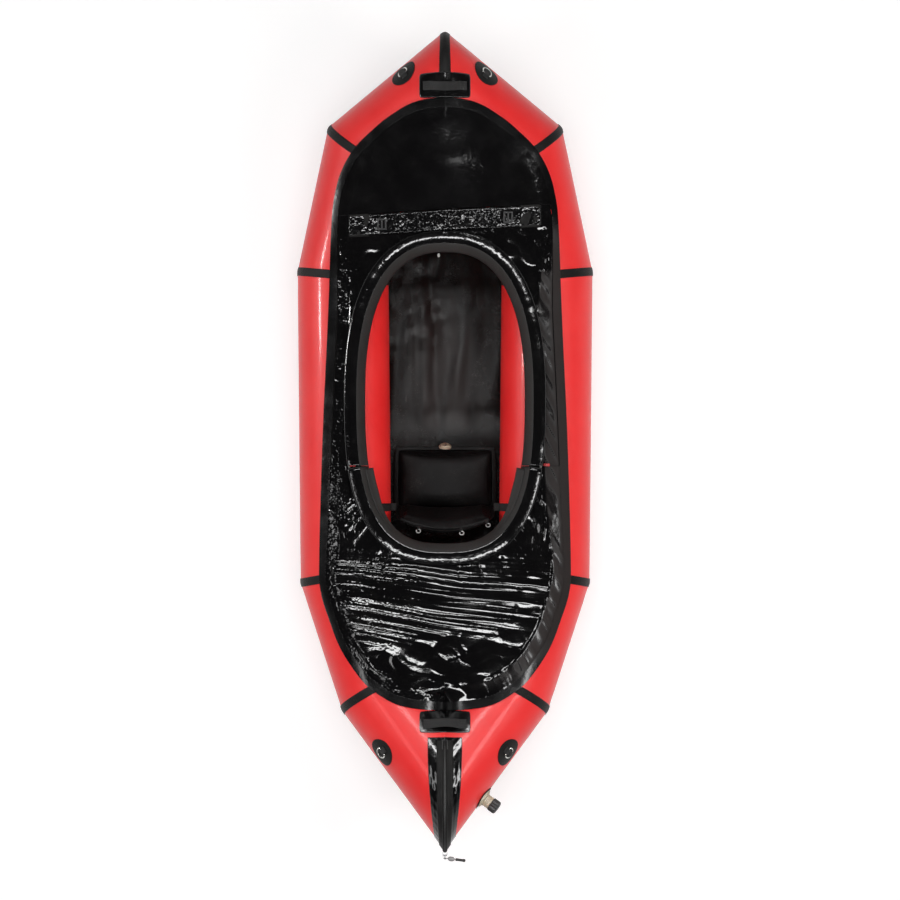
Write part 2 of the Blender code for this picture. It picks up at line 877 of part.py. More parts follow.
def coaming_profile():
    """(offset, height) pairs across the coaming, from foot to the end of the rod's hem."""
    centre_run = lip_run_end
    centre_height = coaming_wall_height - coaming_lip_drop - hem_radius
    line = [(0, coaming_foot_gap), (coaming_wall_run / 2, coaming_wall_height * wall_bulge_share),
            (coaming_wall_run, coaming_wall_height)]
    for step in range(hem_steps + 1):
        turn = math.pi / 2 - hem_turn * step / hem_steps
        line.append((centre_run + hem_radius * math.cos(turn),
                     centre_height + hem_radius * math.sin(turn)))
    return line, Vector((centre_run, centre_height))


profile_line, hem_centre = coaming_profile()
outward_loop = inset_loop(mouth_loop, -1.0)


def coaming_spot(index, run, height):
    base = mouth_loop[index % loop_count]
    out = outward_loop[index % loop_count] - base
    return Vector((base.x + out.x * run, base.y + out.y * run, foot_height(base.y) + height))


front_cells = next(i for i, p in enumerate(mouth_loop) if p.y < flap_split_y)


def loop_spot(position, run, height):
    """Coaming point at a fractional place round the loop."""
    low = math.floor(position)
    return coaming_spot(low, run, height).lerp(coaming_spot(low + 1, run, height), position - low)


def position_at(level):
    """Place on the starboard side of the loop where it crosses a station."""
    above, below = mouth_loop[front_cells - 1], mouth_loop[front_cells]
    return front_cells - 1 + (above.y - level) / (above.y - below.y)


def stops_between(first, last):
    """Both ends and each whole place between them, so that all pieces share their corners."""
    return [first] + list(range(math.ceil(first), math.floor(last) + 1)) + [last]


def coaming_half(name, first, last):
    rows = len(profile_line) - 1
    stops = stops_between(first, last)
    columns = len(stops) - 1
    bm = bmesh.new()
    bmesh.ops.create_grid(bm, x_segments=columns, y_segments=rows, size=0.5)
    for vert in bm.verts:
        run, height = profile_line[int(round((vert.co.y + 0.5) * rows))]
        vert.co = loop_spot(stops[int(round((vert.co.x + 0.5) * columns))], run, height)
    bm.normal_update()
    wall = min(bm.faces, key=lambda f: f.calc_center_median().z)
    inward = Vector((0, mouth_centre_y, 0)) - wall.calc_center_median()
    inward.z = 0
    if wall.normal.dot(inward) > 0:
        bmesh.ops.reverse_faces(bm, faces=bm.faces)
    return thicken(add_object(name, mesh_from(bm, name), gloss_deck), coaming_fabric)


split_position = position_at(flap_split_y)
loop_step = (mouth_loop[front_cells - 1] - mouth_loop[front_cells]).length
joint_share = coaming_joint_gap / 2 / loop_step
end_share = rod_end_gap / loop_step
coaming_front = coaming_half("coaming_front", -split_position + joint_share,
                             split_position - joint_share)
coaming_half("coaming_rear", split_position + joint_share,
             loop_count - split_position - joint_share)
set_pivot(coaming_front, fold_axis, flap)


def coaming_rod(name, first, last):
    points = [loop_spot(stop, hem_centre.x, hem_centre.y) for stop in stops_between(first, last)]
    return wire(name, points, rod_radius, glass_rod, 1)


front_rod = coaming_rod("coaming_rod_front", -split_position + end_share,
                        split_position - end_share)
set_pivot(front_rod, fold_axis, flap)
coaming_rod("coaming_rod_rear", split_position + end_share,
            loop_count - split_position - end_share)

closure_strip("closure_strip_starboard", 1)
closure_strip("closure_strip_port", -1)


# Stow band over the front of the opening deck half, with a ladder lock near each end.
flap_tree = BVHTree.FromObject(flap, bpy.context.evaluated_depsgraph_get())


def on_flap(x, y, lift):
    """Point above the opening deck half, or above its nearest edge when beside it."""
    above = Vector((x, y, bow_reach)) - fold_axis
    hit = flap_tree.ray_cast(above, -UP)[0]
    if hit is None:
        level = Vector((x, y, fold_axis.z)) - fold_axis
        hit = Vector((level.x, level.y, flap_tree.find_nearest(level)[0].z))
    return hit + fold_axis + UP * lift


def band_y(x):
    return fold_line_y + fold_line_slope * x + stow_band_centre


def make_stow_band():
    """Strip of the flap's own surface, raised by the fabric under it."""
    half_width = fold_normal * stow_band_width / 2
    middle = Vector((0, stow_band_centre, 0))
    side = Vector((stow_band_half, 0, 0))
    bm = bmesh.new()
    bm.from_mesh(flap.data)
    for point, normal in ((middle - half_width, fold_normal), (middle + half_width, -fold_normal),
                          (-side, fold_direction), (side, -fold_direction)):
        bmesh.ops.bisect_plane(bm, geom=bm.verts[:] + bm.edges[:] + bm.faces[:],
                               plane_co=point, plane_no=normal, clear_inner=True)
    bmesh.ops.translate(bm, verts=bm.verts, vec=UP * (deck_fabric + stow_band_lift))
    made = thicken(add_object("stow_band", mesh_from(bm, "stow_band"), webbing), stow_band_fabric)
    made.parent = flap
    return made


make_stow_band()


def lerp_list(low, high, shares):
    return [low + (high - low) * share for share in shares]


def ladder_lock(name, side_sign):
    """Plate with two slots, hinged at its outer bar."""
    base_lift = stow_band_lift + stow_band_fabric + buckle_seat
    x = buckle_x * side_sign
    ends = [on_flap(x + step * buckle_length, band_y(x), base_lift) for step in (-0.5, 0.5)]
    edges = [on_flap(x, band_y(x) + step * buckle_width, base_lift) for step in (-0.5, 0.5)]
    along = (ends[1] - ends[0]).normalized() * side_sign
    normal = (ends[1] - ends[0]).cross(edges[1] - edges[0]).normalized()
    frame = axis_frame(ends[1] if side_sign > 0 else ends[0], normal, normal.cross(along))
    bar_share = buckle_bar / buckle_length
    slot_share = (1 - 3 * bar_share) / 2
    stops = [0.0, bar_share, bar_share + slot_share, 1 - bar_share - slot_share,
             1 - bar_share, 1.0]
    side_bar = buckle_bar / buckle_width
    xs = lerp_list(-buckle_length, 0, stops)
    ys = lerp_list(-buckle_width / 2, buckle_width / 2, [0.0, side_bar, 1 - side_bar, 1.0])
    bm = bmesh.new()
    bmesh.ops.create_grid(bm, x_segments=len(xs) - 1, y_segments=len(ys) - 1, size=0.5)
    for vert in bm.verts:
        column = int(round((vert.co.x + 0.5) * (len(xs) - 1)))
        row = int(round((vert.co.y + 0.5) * (len(ys) - 1)))
        vert.co = (xs[column], ys[row], 0)
    slots = []
    for plate in bm.faces:
        centre = plate.calc_center_median()
        in_side = ys[1] < centre.y < ys[2]
        if in_side and (xs[1] < centre.x < xs[2] or xs[3] < centre.x < xs[4]):
            slots.append(plate)
    bmesh.ops.delete(bm, geom=slots, context='FACES')
    made = thicken(add_object(name, mesh_from(bm, name), black_plastic), buckle_thickness)
    made.parent = flap
    made.matrix_parent_inverse = Matrix.Translation(-fold_axis)
    made.matrix_basis = frame
    return made


ladder_lock("stow_buckle_starboard", 1)
ladder_lock("stow_buckle_port", -1)


# Grab handles: a patch across the ridge of the joint and a strap that stands off it.
patch_cells = (10, 6)
strap_cells = (16, 2)


def handle_patch(name, front, rear):
    def place(u, v, lift):
        x = (2 * u - 1) * handle_patch_half
        return on_hull(x, rear + (front - rear) * v, handle_patch_lift + lift)

    return sheet(name, *patch_cells, place, handle_patch_fabric, matte_tape)


def handle_strap(name, centre_y):
    base_lift = handle_patch_lift + handle_patch_fabric + skin_gap
    low = on_hull(0, centre_y - strap_width / 2, base_lift)
    high = on_hull(0, centre_y + strap_width / 2, base_lift)
    rise_way = Vector((0, low.z - high.z, high.y - low.y)).normalized()

    def place(u, v, lift):
        x = (2 * u - 1) * strap_half
        y = centre_y + (v - 0.5) * strap_width
        if abs(x) >= strap_free_half:
            return on_hull(x, y, base_lift + lift)
        foot = on_hull(strap_free_half, y, base_lift + lift)
        ridge = on_hull(0, y, base_lift + lift)
        stand = (ridge - foot).dot(rise_way) + strap_rise
        arch = 1 - (x / strap_free_half) ** 2
        return Vector((x, foot.y, foot.z)) + rise_way * stand * arch

    return sheet(name, *strap_cells, place, strap_thickness, webbing)


handle_patch("bow_handle_patch", bow_patch_front, bow_patch_rear)
handle_strap("bow_handle_strap", bow_patch_rear + strap_setback)
handle_patch("stern_handle_patch", stern_patch_front, stern_patch_rear)
handle_strap("stern_handle_strap", stern_patch_front - strap_setback)


# Lashing patches: made flat, then wrapped on the tube; the ring's bar runs in the tunnel.
def flat_disc(name, radius):
    bm = bmesh.new()
    bmesh.ops.create_grid(bm, x_segments=disc_cells, y_segments=disc_cells, size=1)
    for vert in bm.verts:
        a, b = vert.co.x, vert.co.y
        vert.co = (radius * a * math.sqrt(1 - b * b / 2), radius * b * math.sqrt(1 - a * a / 2), 0)
    return thicken(add_object(name, mesh_from(bm, name), matte_tape), disc_fabric)


def wrap(made, panel, corner, along, angle, lift):
    """Roll a flat piece on to a tube: its X runs along the tube, its Y goes outboard."""
    mesh = applied(made)
    mesh.shade_smooth()
    mesh.set_sharp_from_angle(angle=smooth_angle)
    for vert in mesh.vertices:
        turn = angle + vert.co.y / (tube_radius + lift)
        vert.co = tube_point(panel, corner, along + vert.co.x, turn,
                             tube_radius + lift + vert.co.z)
    bm = bmesh.new()
    bm.from_mesh(mesh)
    bmesh.ops.recalc_face_normals(bm, faces=bm.faces)
    bm.to_mesh(mesh)
    bm.free()
    return made


ring_flat = ring_radius * ring_flat_share
bar_height = disc_fabric + skin_gap + ring_wire
tunnel_inner = ring_wire + tunnel_clearance


def tunnel_outline():
    outer = tunnel_inner + tunnel_fabric
    sunk = disc_fabric / 2
    top = disc_fabric + tunnel_fabric
    turns = [math.pi * step / tunnel_steps for step in range(tunnel_steps + 1)]
    over = [(-outer * math.cos(t), bar_height + outer * math.sin(t)) for t in turns]
    under = [(tunnel_inner * math.cos(t), bar_height + tunnel_inner * math.sin(t)) for t in turns]
    reach = tunnel_length / 2
    return ([(-reach, sunk), (-reach, top), (-outer, top)] + over
            + [(outer, top), (reach, top), (reach, sunk), (tunnel_inner, sunk)] + under
            + [(-tunnel_inner, sunk)])


def lashing_patch(label, panel, corner, along, angle):
    disc = flat_disc(f"{label}_lashing_patch", disc_radius)
    flat_frame = Matrix.Rotation(-math.pi / 2, 4, 'Z')
    flat_frame.translation = Vector((0, -ring_flat, 0))
    tunnel = prism(f"{label}_tunnel", tunnel_outline(), flat_frame, tunnel_width / 2, webbing)
    boolean(disc, tunnel, 'UNION')
    wrap(disc, panel, corner, along, angle, disc_lift)
    bar_radius = tube_radius + disc_lift + bar_height
    bar_angle = angle - ring_flat / (tube_radius + disc_lift)
    bar = tube_point(panel, corner, along, bar_angle, bar_radius)
    outboard = radial(panel, bar_angle + math.pi / 2)
    first = -math.asin(ring_flat_share)
    points = []
    for step in range(ring_steps + 1):
        turn = first + (math.pi - 2 * first) * step / ring_steps
        points.append(bar + directions[panel] * ring_radius * math.cos(turn)
                      + outboard * (ring_radius * math.sin(turn) + ring_flat))
    ring = wire(f"{label}_lashing_ring", points, ring_wire, grey_metal, 1, closed=True)
    set_pivot(ring, bar)
    return ring


for end, panel, corner, along, angle in (
        ("bow", BOW, BOW, bow_ring_along, bow_ring_angle),
        ("stern", REAR_SHOULDER, STERN, -stern_ring_along, stern_ring_angle)):
    lashing_patch(f"{end}_starboard", panel, corner, along, angle)
    lashing_patch(f"{end}_port", panel_count - 1 - panel, -corner % panel_count, -along, angle)


# Inflation valve: patch, saddle flange, turning body and cap on one outward axis.
valve_steps = 24
valve_axis = radial(REAR_SHOULDER, valve_angle)
valve_frame = axis_frame(tube_point(REAR_SHOULDER, STERN, -valve_along, valve_angle, tube_radius),
                         valve_axis)
wrap(flat_disc("valve_patch", valve_patch_radius), REAR_SHOULDER, STERN, -valve_along,
     valve_angle, tape_lift)

flange = turned("valve_flange",
                [(flange_bore, flange_height), (flange_radius - flange_chamfer, flange_height),
                 (flange_radius, flange_height - flange_chamfer), (flange_radius, -flange_skirt),
                 (flange_bore, -flange_skirt)],
                valve_frame, beige_plastic, valve_steps, closed=True)
saddle_frame = Matrix((sides[REAR_SHOULDER], tops[REAR_SHOULDER],
                       directions[REAR_SHOULDER])).transposed().to_4x4()
saddle_frame.translation = vertices[STERN]
saddle_radius = (tube_radius + tape_lift + disc_fabric + skin_gap) / math.cos(facet / 2)
saddle_mesh = mesh_from(cylinder(saddle_radius, 8 * tube_radius, saddle_frame), "valve_saddle")
boolean(flange, bpy.data.objects.new("valve_saddle", saddle_mesh), 'DIFFERENCE')

body_low = flange_height + valve_gap
body_top = body_low + valve_body_height
turned("valve_body",
       [(0, body_top), (valve_body_radius - valve_chamfer, body_top),
        (valve_body_radius, body_top - valve_chamfer), (valve_body_radius, body_low),
        (valve_stem_radius, body_low), (valve_stem_radius, body_low - valve_stem_depth),
        (0, body_low - valve_stem_depth)],
       valve_frame, beige_plastic, valve_steps)

cap_low = body_top + valve_gap
cap_top = cap_low + valve_cap_height
cap = turned("valve_cap",
             [(0, cap_top), (valve_cap_radius - 2 * valve_chamfer, cap_top),
              (valve_cap_radius, cap_top - valve_chamfer), (valve_cap_radius, cap_low + valve_chamfer),
              (valve_cap_radius - valve_chamfer, cap_low), (0, cap_low)],
             valve_frame, black_plastic, 4 * valve_cap_flutes)
cap_mesh = applied(cap)
for vert in cap_mesh.vertices:
    turn = math.atan2(vert.co.y, vert.co.x)
    groove = (1 - math.cos(valve_cap_flutes * turn)) / 2
    shrink = 1 - valve_cap_flute_depth / valve_cap_radius * groove
    vert.co = (vert.co.x * shrink, vert.co.y * shrink, vert.co.z)


# Zip over the stern joint: backing, toothed tape, slider and pull.
zip_columns = 15
backing_rows = 6
zip_start = seam_angle_at(STERN, stern_patch_rear - zip_patch_gap, zip_backing_lift)


def backing_place(u, v, lift):
    angle = zip_start + (zip_outer_angle - zip_start) * u
    return seam_point(STERN, angle, (v - 0.5) * zip_backing_width, zip_backing_lift + lift)


sheet("zip_backing", zip_columns, backing_rows, backing_place, zip_backing_fabric, gloss_deck)

coil_half = zip_coil_width / 2
tape_section = [
    (-zip_tape_width / 2, zip_tape_fabric), (-coil_half, zip_tape_fabric),
    (-coil_half * zip_coil_top_share, zip_tape_fabric + zip_coil_height),
    (0, zip_tape_fabric + zip_coil_height),
    (coil_half * zip_coil_top_share, zip_tape_fabric + zip_coil_height),
    (coil_half, zip_tape_fabric), (zip_tape_width / 2, zip_tape_fabric),
]


def make_zip_tape():
    """Band that is solid up to its own section, with the coil as a ridge on it."""
    rows = len(tape_section) - 1
    first, last = zip_start + zip_tape_margin, zip_outer_angle - zip_tape_margin
    bm = bmesh.new()
    bmesh.ops.create_grid(bm, x_segments=zip_columns, y_segments=rows, size=0.5)
    grown = bmesh.ops.extrude_face_region(bm, geom=bm.faces[:])["geom"]
    upper = {item for item in grown if isinstance(item, bmesh.types.BMVert)}
    for vert in bm.verts:
        width, height = tape_section[int(round((vert.co.y + 0.5) * rows))]
        angle = first + (last - first) * (vert.co.x + 0.5)
        lift = zip_tape_lift + (height if vert in upper else 0)
        vert.co = seam_point(STERN, angle, width, lift)
    bmesh.ops.recalc_face_normals(bm, faces=bm.faces)
    if bm.calc_volume(signed=True) < 0:
        bmesh.ops.reverse_faces(bm, faces=bm.faces)
    return add_object("zip_tape", mesh_from(bm, "zip_tape"), matte_tape)


make_zip_tape()


def circle_centre(first, second, third):
    """Centre of the circle through three points of the plane x = 0."""
    a, b = second - first, third - first
    twice = 2 * (a.y * b.z - a.z * b.y)
    y = (b.z * a.length_squared - a.z * b.length_squared) / twice
    z = (a.y * b.length_squared - b.y * a.length_squared) / twice
    return first + Vector((0, y, z))


slider_base = zip_tape_lift + zip_tape_fabric + slider_clearance
travel_angles = (slider_angle, (slider_angle + slider_last_angle) / 2, slider_last_angle)
travel_points = [seam_point(STERN, angle, 0, slider_base) for angle in travel_angles]
travel_axis = circle_centre(*travel_points)
slider_spot = seam_point(STERN, slider_angle, 0, slider_base)
slider_run = (seam_point(STERN, slider_angle + facet, 0, slider_base)
              - seam_point(STERN, slider_angle - facet, 0, slider_base))
slider_out = Vector((0, slider_run.z, -slider_run.y)).normalized()
slider_frame = axis_frame(slider_spot, slider_out, -slider_run.normalized())
starboard_way = slider_frame.col[0].to_3d()
tail_way = slider_run.normalized()

channel_half = coil_half + slider_clearance
coil_clear_spot = seam_point(STERN, slider_angle, 0, slider_base + zip_coil_height)
channel_top = (coil_clear_spot - slider_spot).dot(slider_out)
half = slider_width / 2
crown_half = half - slider_shoulder
slider_outline = [
    (-half, 0), (-half, slider_height - slider_shoulder), (-crown_half, slider_height),
    (crown_half, slider_height), (half, slider_height - slider_shoulder), (half, 0),
    (channel_half, 0), (channel_half, channel_top), (-channel_half, channel_top),
    (-channel_half, 0),
]
slider = prism("zip_slider", slider_outline, slider_frame, slider_length / 2, grey_plastic)
eye_height = slider_height + pull_gap + pull_grip_radius
pin_top = eye_height + eye_half + pull_gap + pin_head
pin = turned("slider_pin",
             [(0, pin_top), (pin_head_radius, pin_top), (pin_head_radius, pin_top - pin_head),
              (pin_radius, pin_top - pin_head), (pin_radius, channel_top + pull_gap),
              (0, channel_top + pull_gap)],
             slider_frame, grey_plastic, valve_steps // 2)
boolean(slider, pin, 'UNION')
applied(slider)


def rebase(made, point):
    """Move a placed object's origin to a point without moving its surface."""
    made.data.transform(Matrix.Translation(-point) @ made.matrix_world)
    made.matrix_world = Matrix.Translation(point)


rebase(slider, travel_axis)

eye_centre = slider_spot + slider_out * eye_height
pull_way = starboard_way * math.cos(pull_tilt) + tail_way * math.sin(pull_tilt)
grip_start = pull_cord_length
grip_end = grip_start + pull_grip_length
toggle_start = grip_end + pull_neck_length
toggle_end = toggle_start + pull_toggle_length
grip_ribs = 4
grip_end_share = 0.1
toggle_chamfer = pull_toggle_radius / 4


def pull_profile():
    line = [(0, toggle_end), (pull_toggle_radius - toggle_chamfer, toggle_end),
            (pull_toggle_radius, toggle_end - toggle_chamfer),
            (pull_toggle_radius, toggle_start + toggle_chamfer),
            (pull_toggle_radius - toggle_chamfer, toggle_start),
            (pull_cord_radius, toggle_start), (pull_cord_radius, grip_end)]
    for step in range(2 * grip_ribs + 1):
        share = step / (2 * grip_ribs)
        turn = math.pi * (grip_end_share + (1 - 2 * grip_end_share) * share)
        radius = pull_grip_radius * math.sqrt(math.sin(turn))
        radius -= pull_rib_depth if step % 2 else 0
        line.append((radius, grip_end - pull_grip_length * share))
    return line + [(pull_cord_radius, grip_start), (pull_cord_radius, eye_radius - eye_half),
                   (0, eye_radius - eye_half)]


pull = turned("zip_pull", pull_profile(), axis_frame(eye_centre, pull_way, slider_out),
              black_plastic, valve_steps // 2)
eye = turned("pull_eye",
             [(pin_radius + pull_gap, eye_half), (eye_radius, eye_half), (eye_radius, -eye_half),
              (pin_radius + pull_gap, -eye_half)],
             axis_frame(eye_centre, slider_out, pull_way), black_plastic, valve_steps // 2,
             closed=True)
boolean(pull, eye, 'UNION')


# Cushions: a block of points swollen in the middle and rounded at the rim.
def cushion(name, shape, material):
    bm = bmesh.new()
    bmesh.ops.create_cube(bm, size=2)
    bmesh.ops.subdivide_edges(bm, edges=bm.edges, cuts=cushion_cuts, use_grid_fill=True)
    for vert in bm.verts:
        vert.co = shape(*vert.co)
    bmesh.ops.recalc_face_normals(bm, faces=bm.faces)
    return add_object(name, mesh_from(bm, name), material)


def swell(a, b):
    return 1 - (1 - (1 - a * a) * (1 - b * b)) ** 2


def rim_round(a, b, level):
    """How far the rim is drawn in near the top and bottom of a cushion."""
    return cushion_round * abs(2 * level - 1) ** 3 * max(abs(a), abs(b)) ** 2


seat_floor = floor_fabric + skin_gap
seat_centre_y = seat_front_y - seat_depth / 2


def seat_shape(a, b, c):
    level = (c + 1) / 2
    inset = rim_round(a, b, level) + seat_lean * level
    half_x = seat_half - seat_draw_in * (1 - b * b) - inset
    half_y = seat_depth / 2 - seat_draw_in * (1 - a * a) - inset
    thick = seat_edge_thickness + (seat_thickness - seat_edge_thickness) * swell(a, b)
    return Vector((half_x * a * (1 - cushion_corner_share * b ** 4),
                   seat_centre_y + half_y * b * (1 - cushion_corner_share * a ** 4),
                   seat_floor + thick * level))


cushion("seat_cushion", seat_shape, floor_cloth)

seat_valve_axis = Vector((0, math.sin(seat_valve_tilt), math.cos(seat_valve_tilt)))
seat_valve_frame = axis_frame(seat_shape(0, 1, 0) + seat_valve_axis * seat_valve_gap,
                              seat_valve_axis)
seat_valve_lip = seat_valve_height / 2
turned("seat_valve",
       [(0, seat_valve_height), (seat_valve_radius - seat_valve_lip, seat_valve_height),
        (seat_valve_radius - seat_valve_lip, seat_valve_lip), (seat_valve_radius, seat_valve_lip),
        (seat_valve_radius, 0), (0, 0)],
       seat_valve_frame, beige_plastic, valve_steps)

backrest_axis = Vector((0, backrest_axis_y, seat_floor + seat_thickness + backrest_seat_gap))


def backrest_shape(a, b, c):
    level = (c + 1) / 2
    inset = rim_round(a, b, level)
    rise = (b + 1) / 2
    half_x = backrest_half - inset
    thick = (backrest_edge_thickness
             + (backrest_thickness - backrest_edge_thickness) * swell(a, b))
    wrap_share = backrest_low_wrap_share + (1 - backrest_low_wrap_share) * rise
    height = backrest_height / 2 + (backrest_height / 2 - inset) * b
    height *= 1 - cushion_corner_share * a ** 4
    forward = backrest_wrap * wrap_share * a * a + thick * c / 2
    spot = Vector((half_x * a * (1 - cushion_corner_share * b ** 4), forward, height))
    return Matrix.Rotation(backrest_lean, 3, 'X') @ spot + backrest_axis


backrest = cushion("backrest", backrest_shape, floor_cloth)
set_pivot(backrest, backrest_axis)


# Webbing from the side tubes to the sides of the backrest.
anchor_columns = 6
anchor_wrapped = 4


def anchor_strap(name, side_sign):
    panel = FRONT_SIDE if side_sign > 0 else panel_count - 1 - FRONT_SIDE
    corner = REAR_SIDE if side_sign > 0 else panel_count - REAR_SIDE

    def on_tube(angle, y, radius):
        spot = tube_point(panel, corner, 0, angle, radius)
        return tube_point(panel, corner, (y - spot.y) / directions[panel].y, angle, radius)

    def place(u, v, lift):
        column = int(round(u * anchor_columns))
        y = anchor_strap_y + (v - 0.5) * anchor_strap_width
        share = min(column / anchor_wrapped, 1.0)
        angle = anchor_start_angle + (anchor_end_angle - anchor_start_angle) * share
        spot = on_tube(angle, y, tube_radius + tape_lift + lift)
        if column <= anchor_wrapped:
            return spot
        across = (column - anchor_wrapped) / (anchor_columns - anchor_wrapped)
        end = Vector(((backrest_half + anchor_strap_gap) * side_sign, y, spot.z))
        return spot.lerp(end, across)

    return sheet(name, anchor_columns, 2, place, anchor_strap_thickness, webbing)


anchor_strap("backrest_strap_starboard", 1)
anchor_strap("backrest_strap_port", -1)
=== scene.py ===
"""Looks of a one-seat packraft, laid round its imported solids. Metres, +Z up, +Y to the bow."""

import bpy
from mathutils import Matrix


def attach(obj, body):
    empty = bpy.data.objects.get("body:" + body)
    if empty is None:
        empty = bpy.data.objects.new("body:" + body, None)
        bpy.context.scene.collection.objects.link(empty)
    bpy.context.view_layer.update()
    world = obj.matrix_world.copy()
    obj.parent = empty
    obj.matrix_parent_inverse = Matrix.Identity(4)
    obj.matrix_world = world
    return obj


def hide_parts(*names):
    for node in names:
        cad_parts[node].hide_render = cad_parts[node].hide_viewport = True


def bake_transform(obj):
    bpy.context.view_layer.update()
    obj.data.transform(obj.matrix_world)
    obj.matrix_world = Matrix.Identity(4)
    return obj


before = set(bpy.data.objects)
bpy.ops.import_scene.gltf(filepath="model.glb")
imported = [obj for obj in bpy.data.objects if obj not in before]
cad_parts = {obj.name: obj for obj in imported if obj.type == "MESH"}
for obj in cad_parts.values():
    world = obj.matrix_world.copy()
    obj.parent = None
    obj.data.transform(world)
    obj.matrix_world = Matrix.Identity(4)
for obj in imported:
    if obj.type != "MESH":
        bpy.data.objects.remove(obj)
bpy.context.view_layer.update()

import math

import bmesh
import bpy
import numpy as np
from mathutils import Matrix, Vector, noise
from mathutils.bvhtree import BVHTree
from mathutils.kdtree import KDTree

# Studio: the camera stands 7 m above the boat and looks straight down, as in the photograph.
# A broad lamp overhead and a panel on each side light it evenly. Banks and windows that only
# gloss shows draw the glints in the film. The floor is plain and pale, and keeps the shadow.
camera_data = bpy.data.cameras.new("camera")
camera_data.lens = 86.0
camera_data.clip_end = 100
camera = bpy.data.objects.new("camera", camera_data)
camera.location = (0.016, -0.0112, 7.15)
bpy.context.scene.collection.objects.link(camera)
bpy.context.scene.camera = camera
bpy.context.scene.view_settings.view_transform = "Standard"


def put(tree, kind, values=(), **settings):
    """A new shader node with its settings and its own socket values."""
    made = tree.nodes.new("ShaderNode" + kind)
    for name, value in settings.items():
        setattr(made, name, value)
    for socket, value in values:
        made.inputs[socket].default_value = value
    return made


def join(tree, *links):
    """Links, each as a node, its output, the node it goes to and the input there."""
    for source, output, target, socket in links:
        tree.links.new(source.outputs[output], target.inputs[socket])


def new_material(name):
    """A material with its node tree and its shader."""
    made = bpy.data.materials.new(name)
    made.use_nodes = True
    return made, made.node_tree, made.node_tree.nodes["Principled BSDF"]


def lamp(name, place, size, power, tint=(1, 1, 1), in_gloss=True, in_matte=True):
    """An area lamp that faces the boat; its size runs along X, then toward the boat's ends."""
    data = bpy.data.lights.new(name, "AREA")
    data.shape = "RECTANGLE"
    data.size, data.size_y = size
    data.energy = power
    data.color = tint
    made = bpy.data.objects.new(name, data)
    made.location = place
    back = Vector(place).normalized()
    across = Vector((0, 1, 0)).cross(back).normalized()
    facing = Matrix((across, back.cross(across), back)).transposed()
    made.rotation_euler = facing.to_euler()
    made.visible_camera = False
    made.visible_glossy = in_gloss
    made.visible_diffuse = in_matte
    bpy.context.scene.collection.objects.link(made)


lamp("overhead", (0.0, -0.3, 4.6), (3.4, 4.4), 116, in_gloss=False)
lamp("right_panel", (3.4, -0.4, 3.0), (1.8, 1.8), 64, (1.0, 0.97, 0.94), in_gloss=False)
lamp("left_panel", (-3.4, -0.2, 3.0), (1.8, 1.8), 44, in_gloss=False)
for name, place, size, power in (
        ("bow_bank", (0.2, 2.45, 6.2), (5.0, 0.7), 240),
        ("stern_bank", (-0.1, -1.45, 2.6), (2.6, 0.25), 42),
        ("bow_window", (0.9, 3.6, 3.8), (0.9, 0.4), 20),
        ("lip_window", (2.7, 1.85, 6.2), (0.9, 0.7), 30),
        ("deck_window", (0.45, -1.60, 6.2), (0.36, 0.36), 2.2),
        ("left_window", (-3.3, 0.75, 2.0), (0.30, 0.60), 60),
        ("starboard_window", (2.4, -0.95, 3.4), (0.5, 1.2), 28),
        ("port_window", (-2.4, -0.95, 3.4), (0.5, 1.2), 10)):
    lamp(name, place, size, power, in_matte=False)

world = bpy.data.worlds.new("studio")
bpy.context.scene.world = world
world.use_nodes = True
sky = world.node_tree
sky.nodes.clear()
sky_way = put(sky, "TexCoord")
sky_split = put(sky, "SeparateXYZ")
sky_fade = put(sky, "MapRange", [(1, 0.05), (2, 0.45), (3, 1.0), (4, 0.04)])
sky_rays = put(sky, "LightPath")
sky_shiny = put(sky, "Math", operation="MAXIMUM")
sky_level = put(sky, "Mix", [(2, 0.12)], data_type="FLOAT")
sky_seen = put(sky, "Math", operation="MAXIMUM")
sky_light = put(sky, "Background", [(0, (1, 1, 1, 1))])
sky_end = put(sky, "OutputWorld")
join(sky, (sky_way, "Generated", sky_split, 0), (sky_split, "Z", sky_fade, 0),
     (sky_rays, "Is Glossy Ray", sky_shiny, 0), (sky_rays, "Is Transmission Ray", sky_shiny, 1),
     (sky_shiny, 0, sky_level, 0), (sky_fade, 0, sky_level, 3),
     (sky_level, 0, sky_seen, 0), (sky_rays, "Is Camera Ray", sky_seen, 1),
     (sky_seen, 0, sky_light, 1), (sky_light, 0, sky_end, 0))

studio_half, studio_drop = 30.0, 0.0008
floor_mesh = bmesh.new()
bmesh.ops.create_grid(floor_mesh, x_segments=1, y_segments=1, size=studio_half)
bmesh.ops.translate(floor_mesh, verts=floor_mesh.verts, vec=(0, 0, -studio_drop))
floor_data = bpy.data.meshes.new("studio_floor")
floor_mesh.to_mesh(floor_data)
floor_mesh.free()
studio_floor = bpy.data.objects.new("studio_floor", floor_data)
bpy.context.scene.collection.objects.link(studio_floor)
floor_paint, tree, paint = new_material("studio_floor")
paint.inputs["Base Color"].default_value = (0.62, 0.62, 0.62, 1)
paint.inputs["Roughness"].default_value = 0.9
paint.inputs["Specular IOR Level"].default_value = 0.1
rays = put(tree, "LightPath")
shiny = put(tree, "Math", operation="MAXIMUM")
seen = put(tree, "Math", operation="MAXIMUM")
glow = put(tree, "Math", [(1, 0.56)], operation="MULTIPLY")
join(tree, (rays, "Is Glossy Ray", shiny, 0), (rays, "Is Transmission Ray", shiny, 1),
     (shiny, 0, seen, 0), (rays, "Is Camera Ray", seen, 1), (seen, 0, glow, 0),
     (glow, 0, paint, "Emission Strength"))
paint.inputs["Emission Color"].default_value = (1, 1, 1, 1)
studio_floor.data.materials.append(floor_paint)

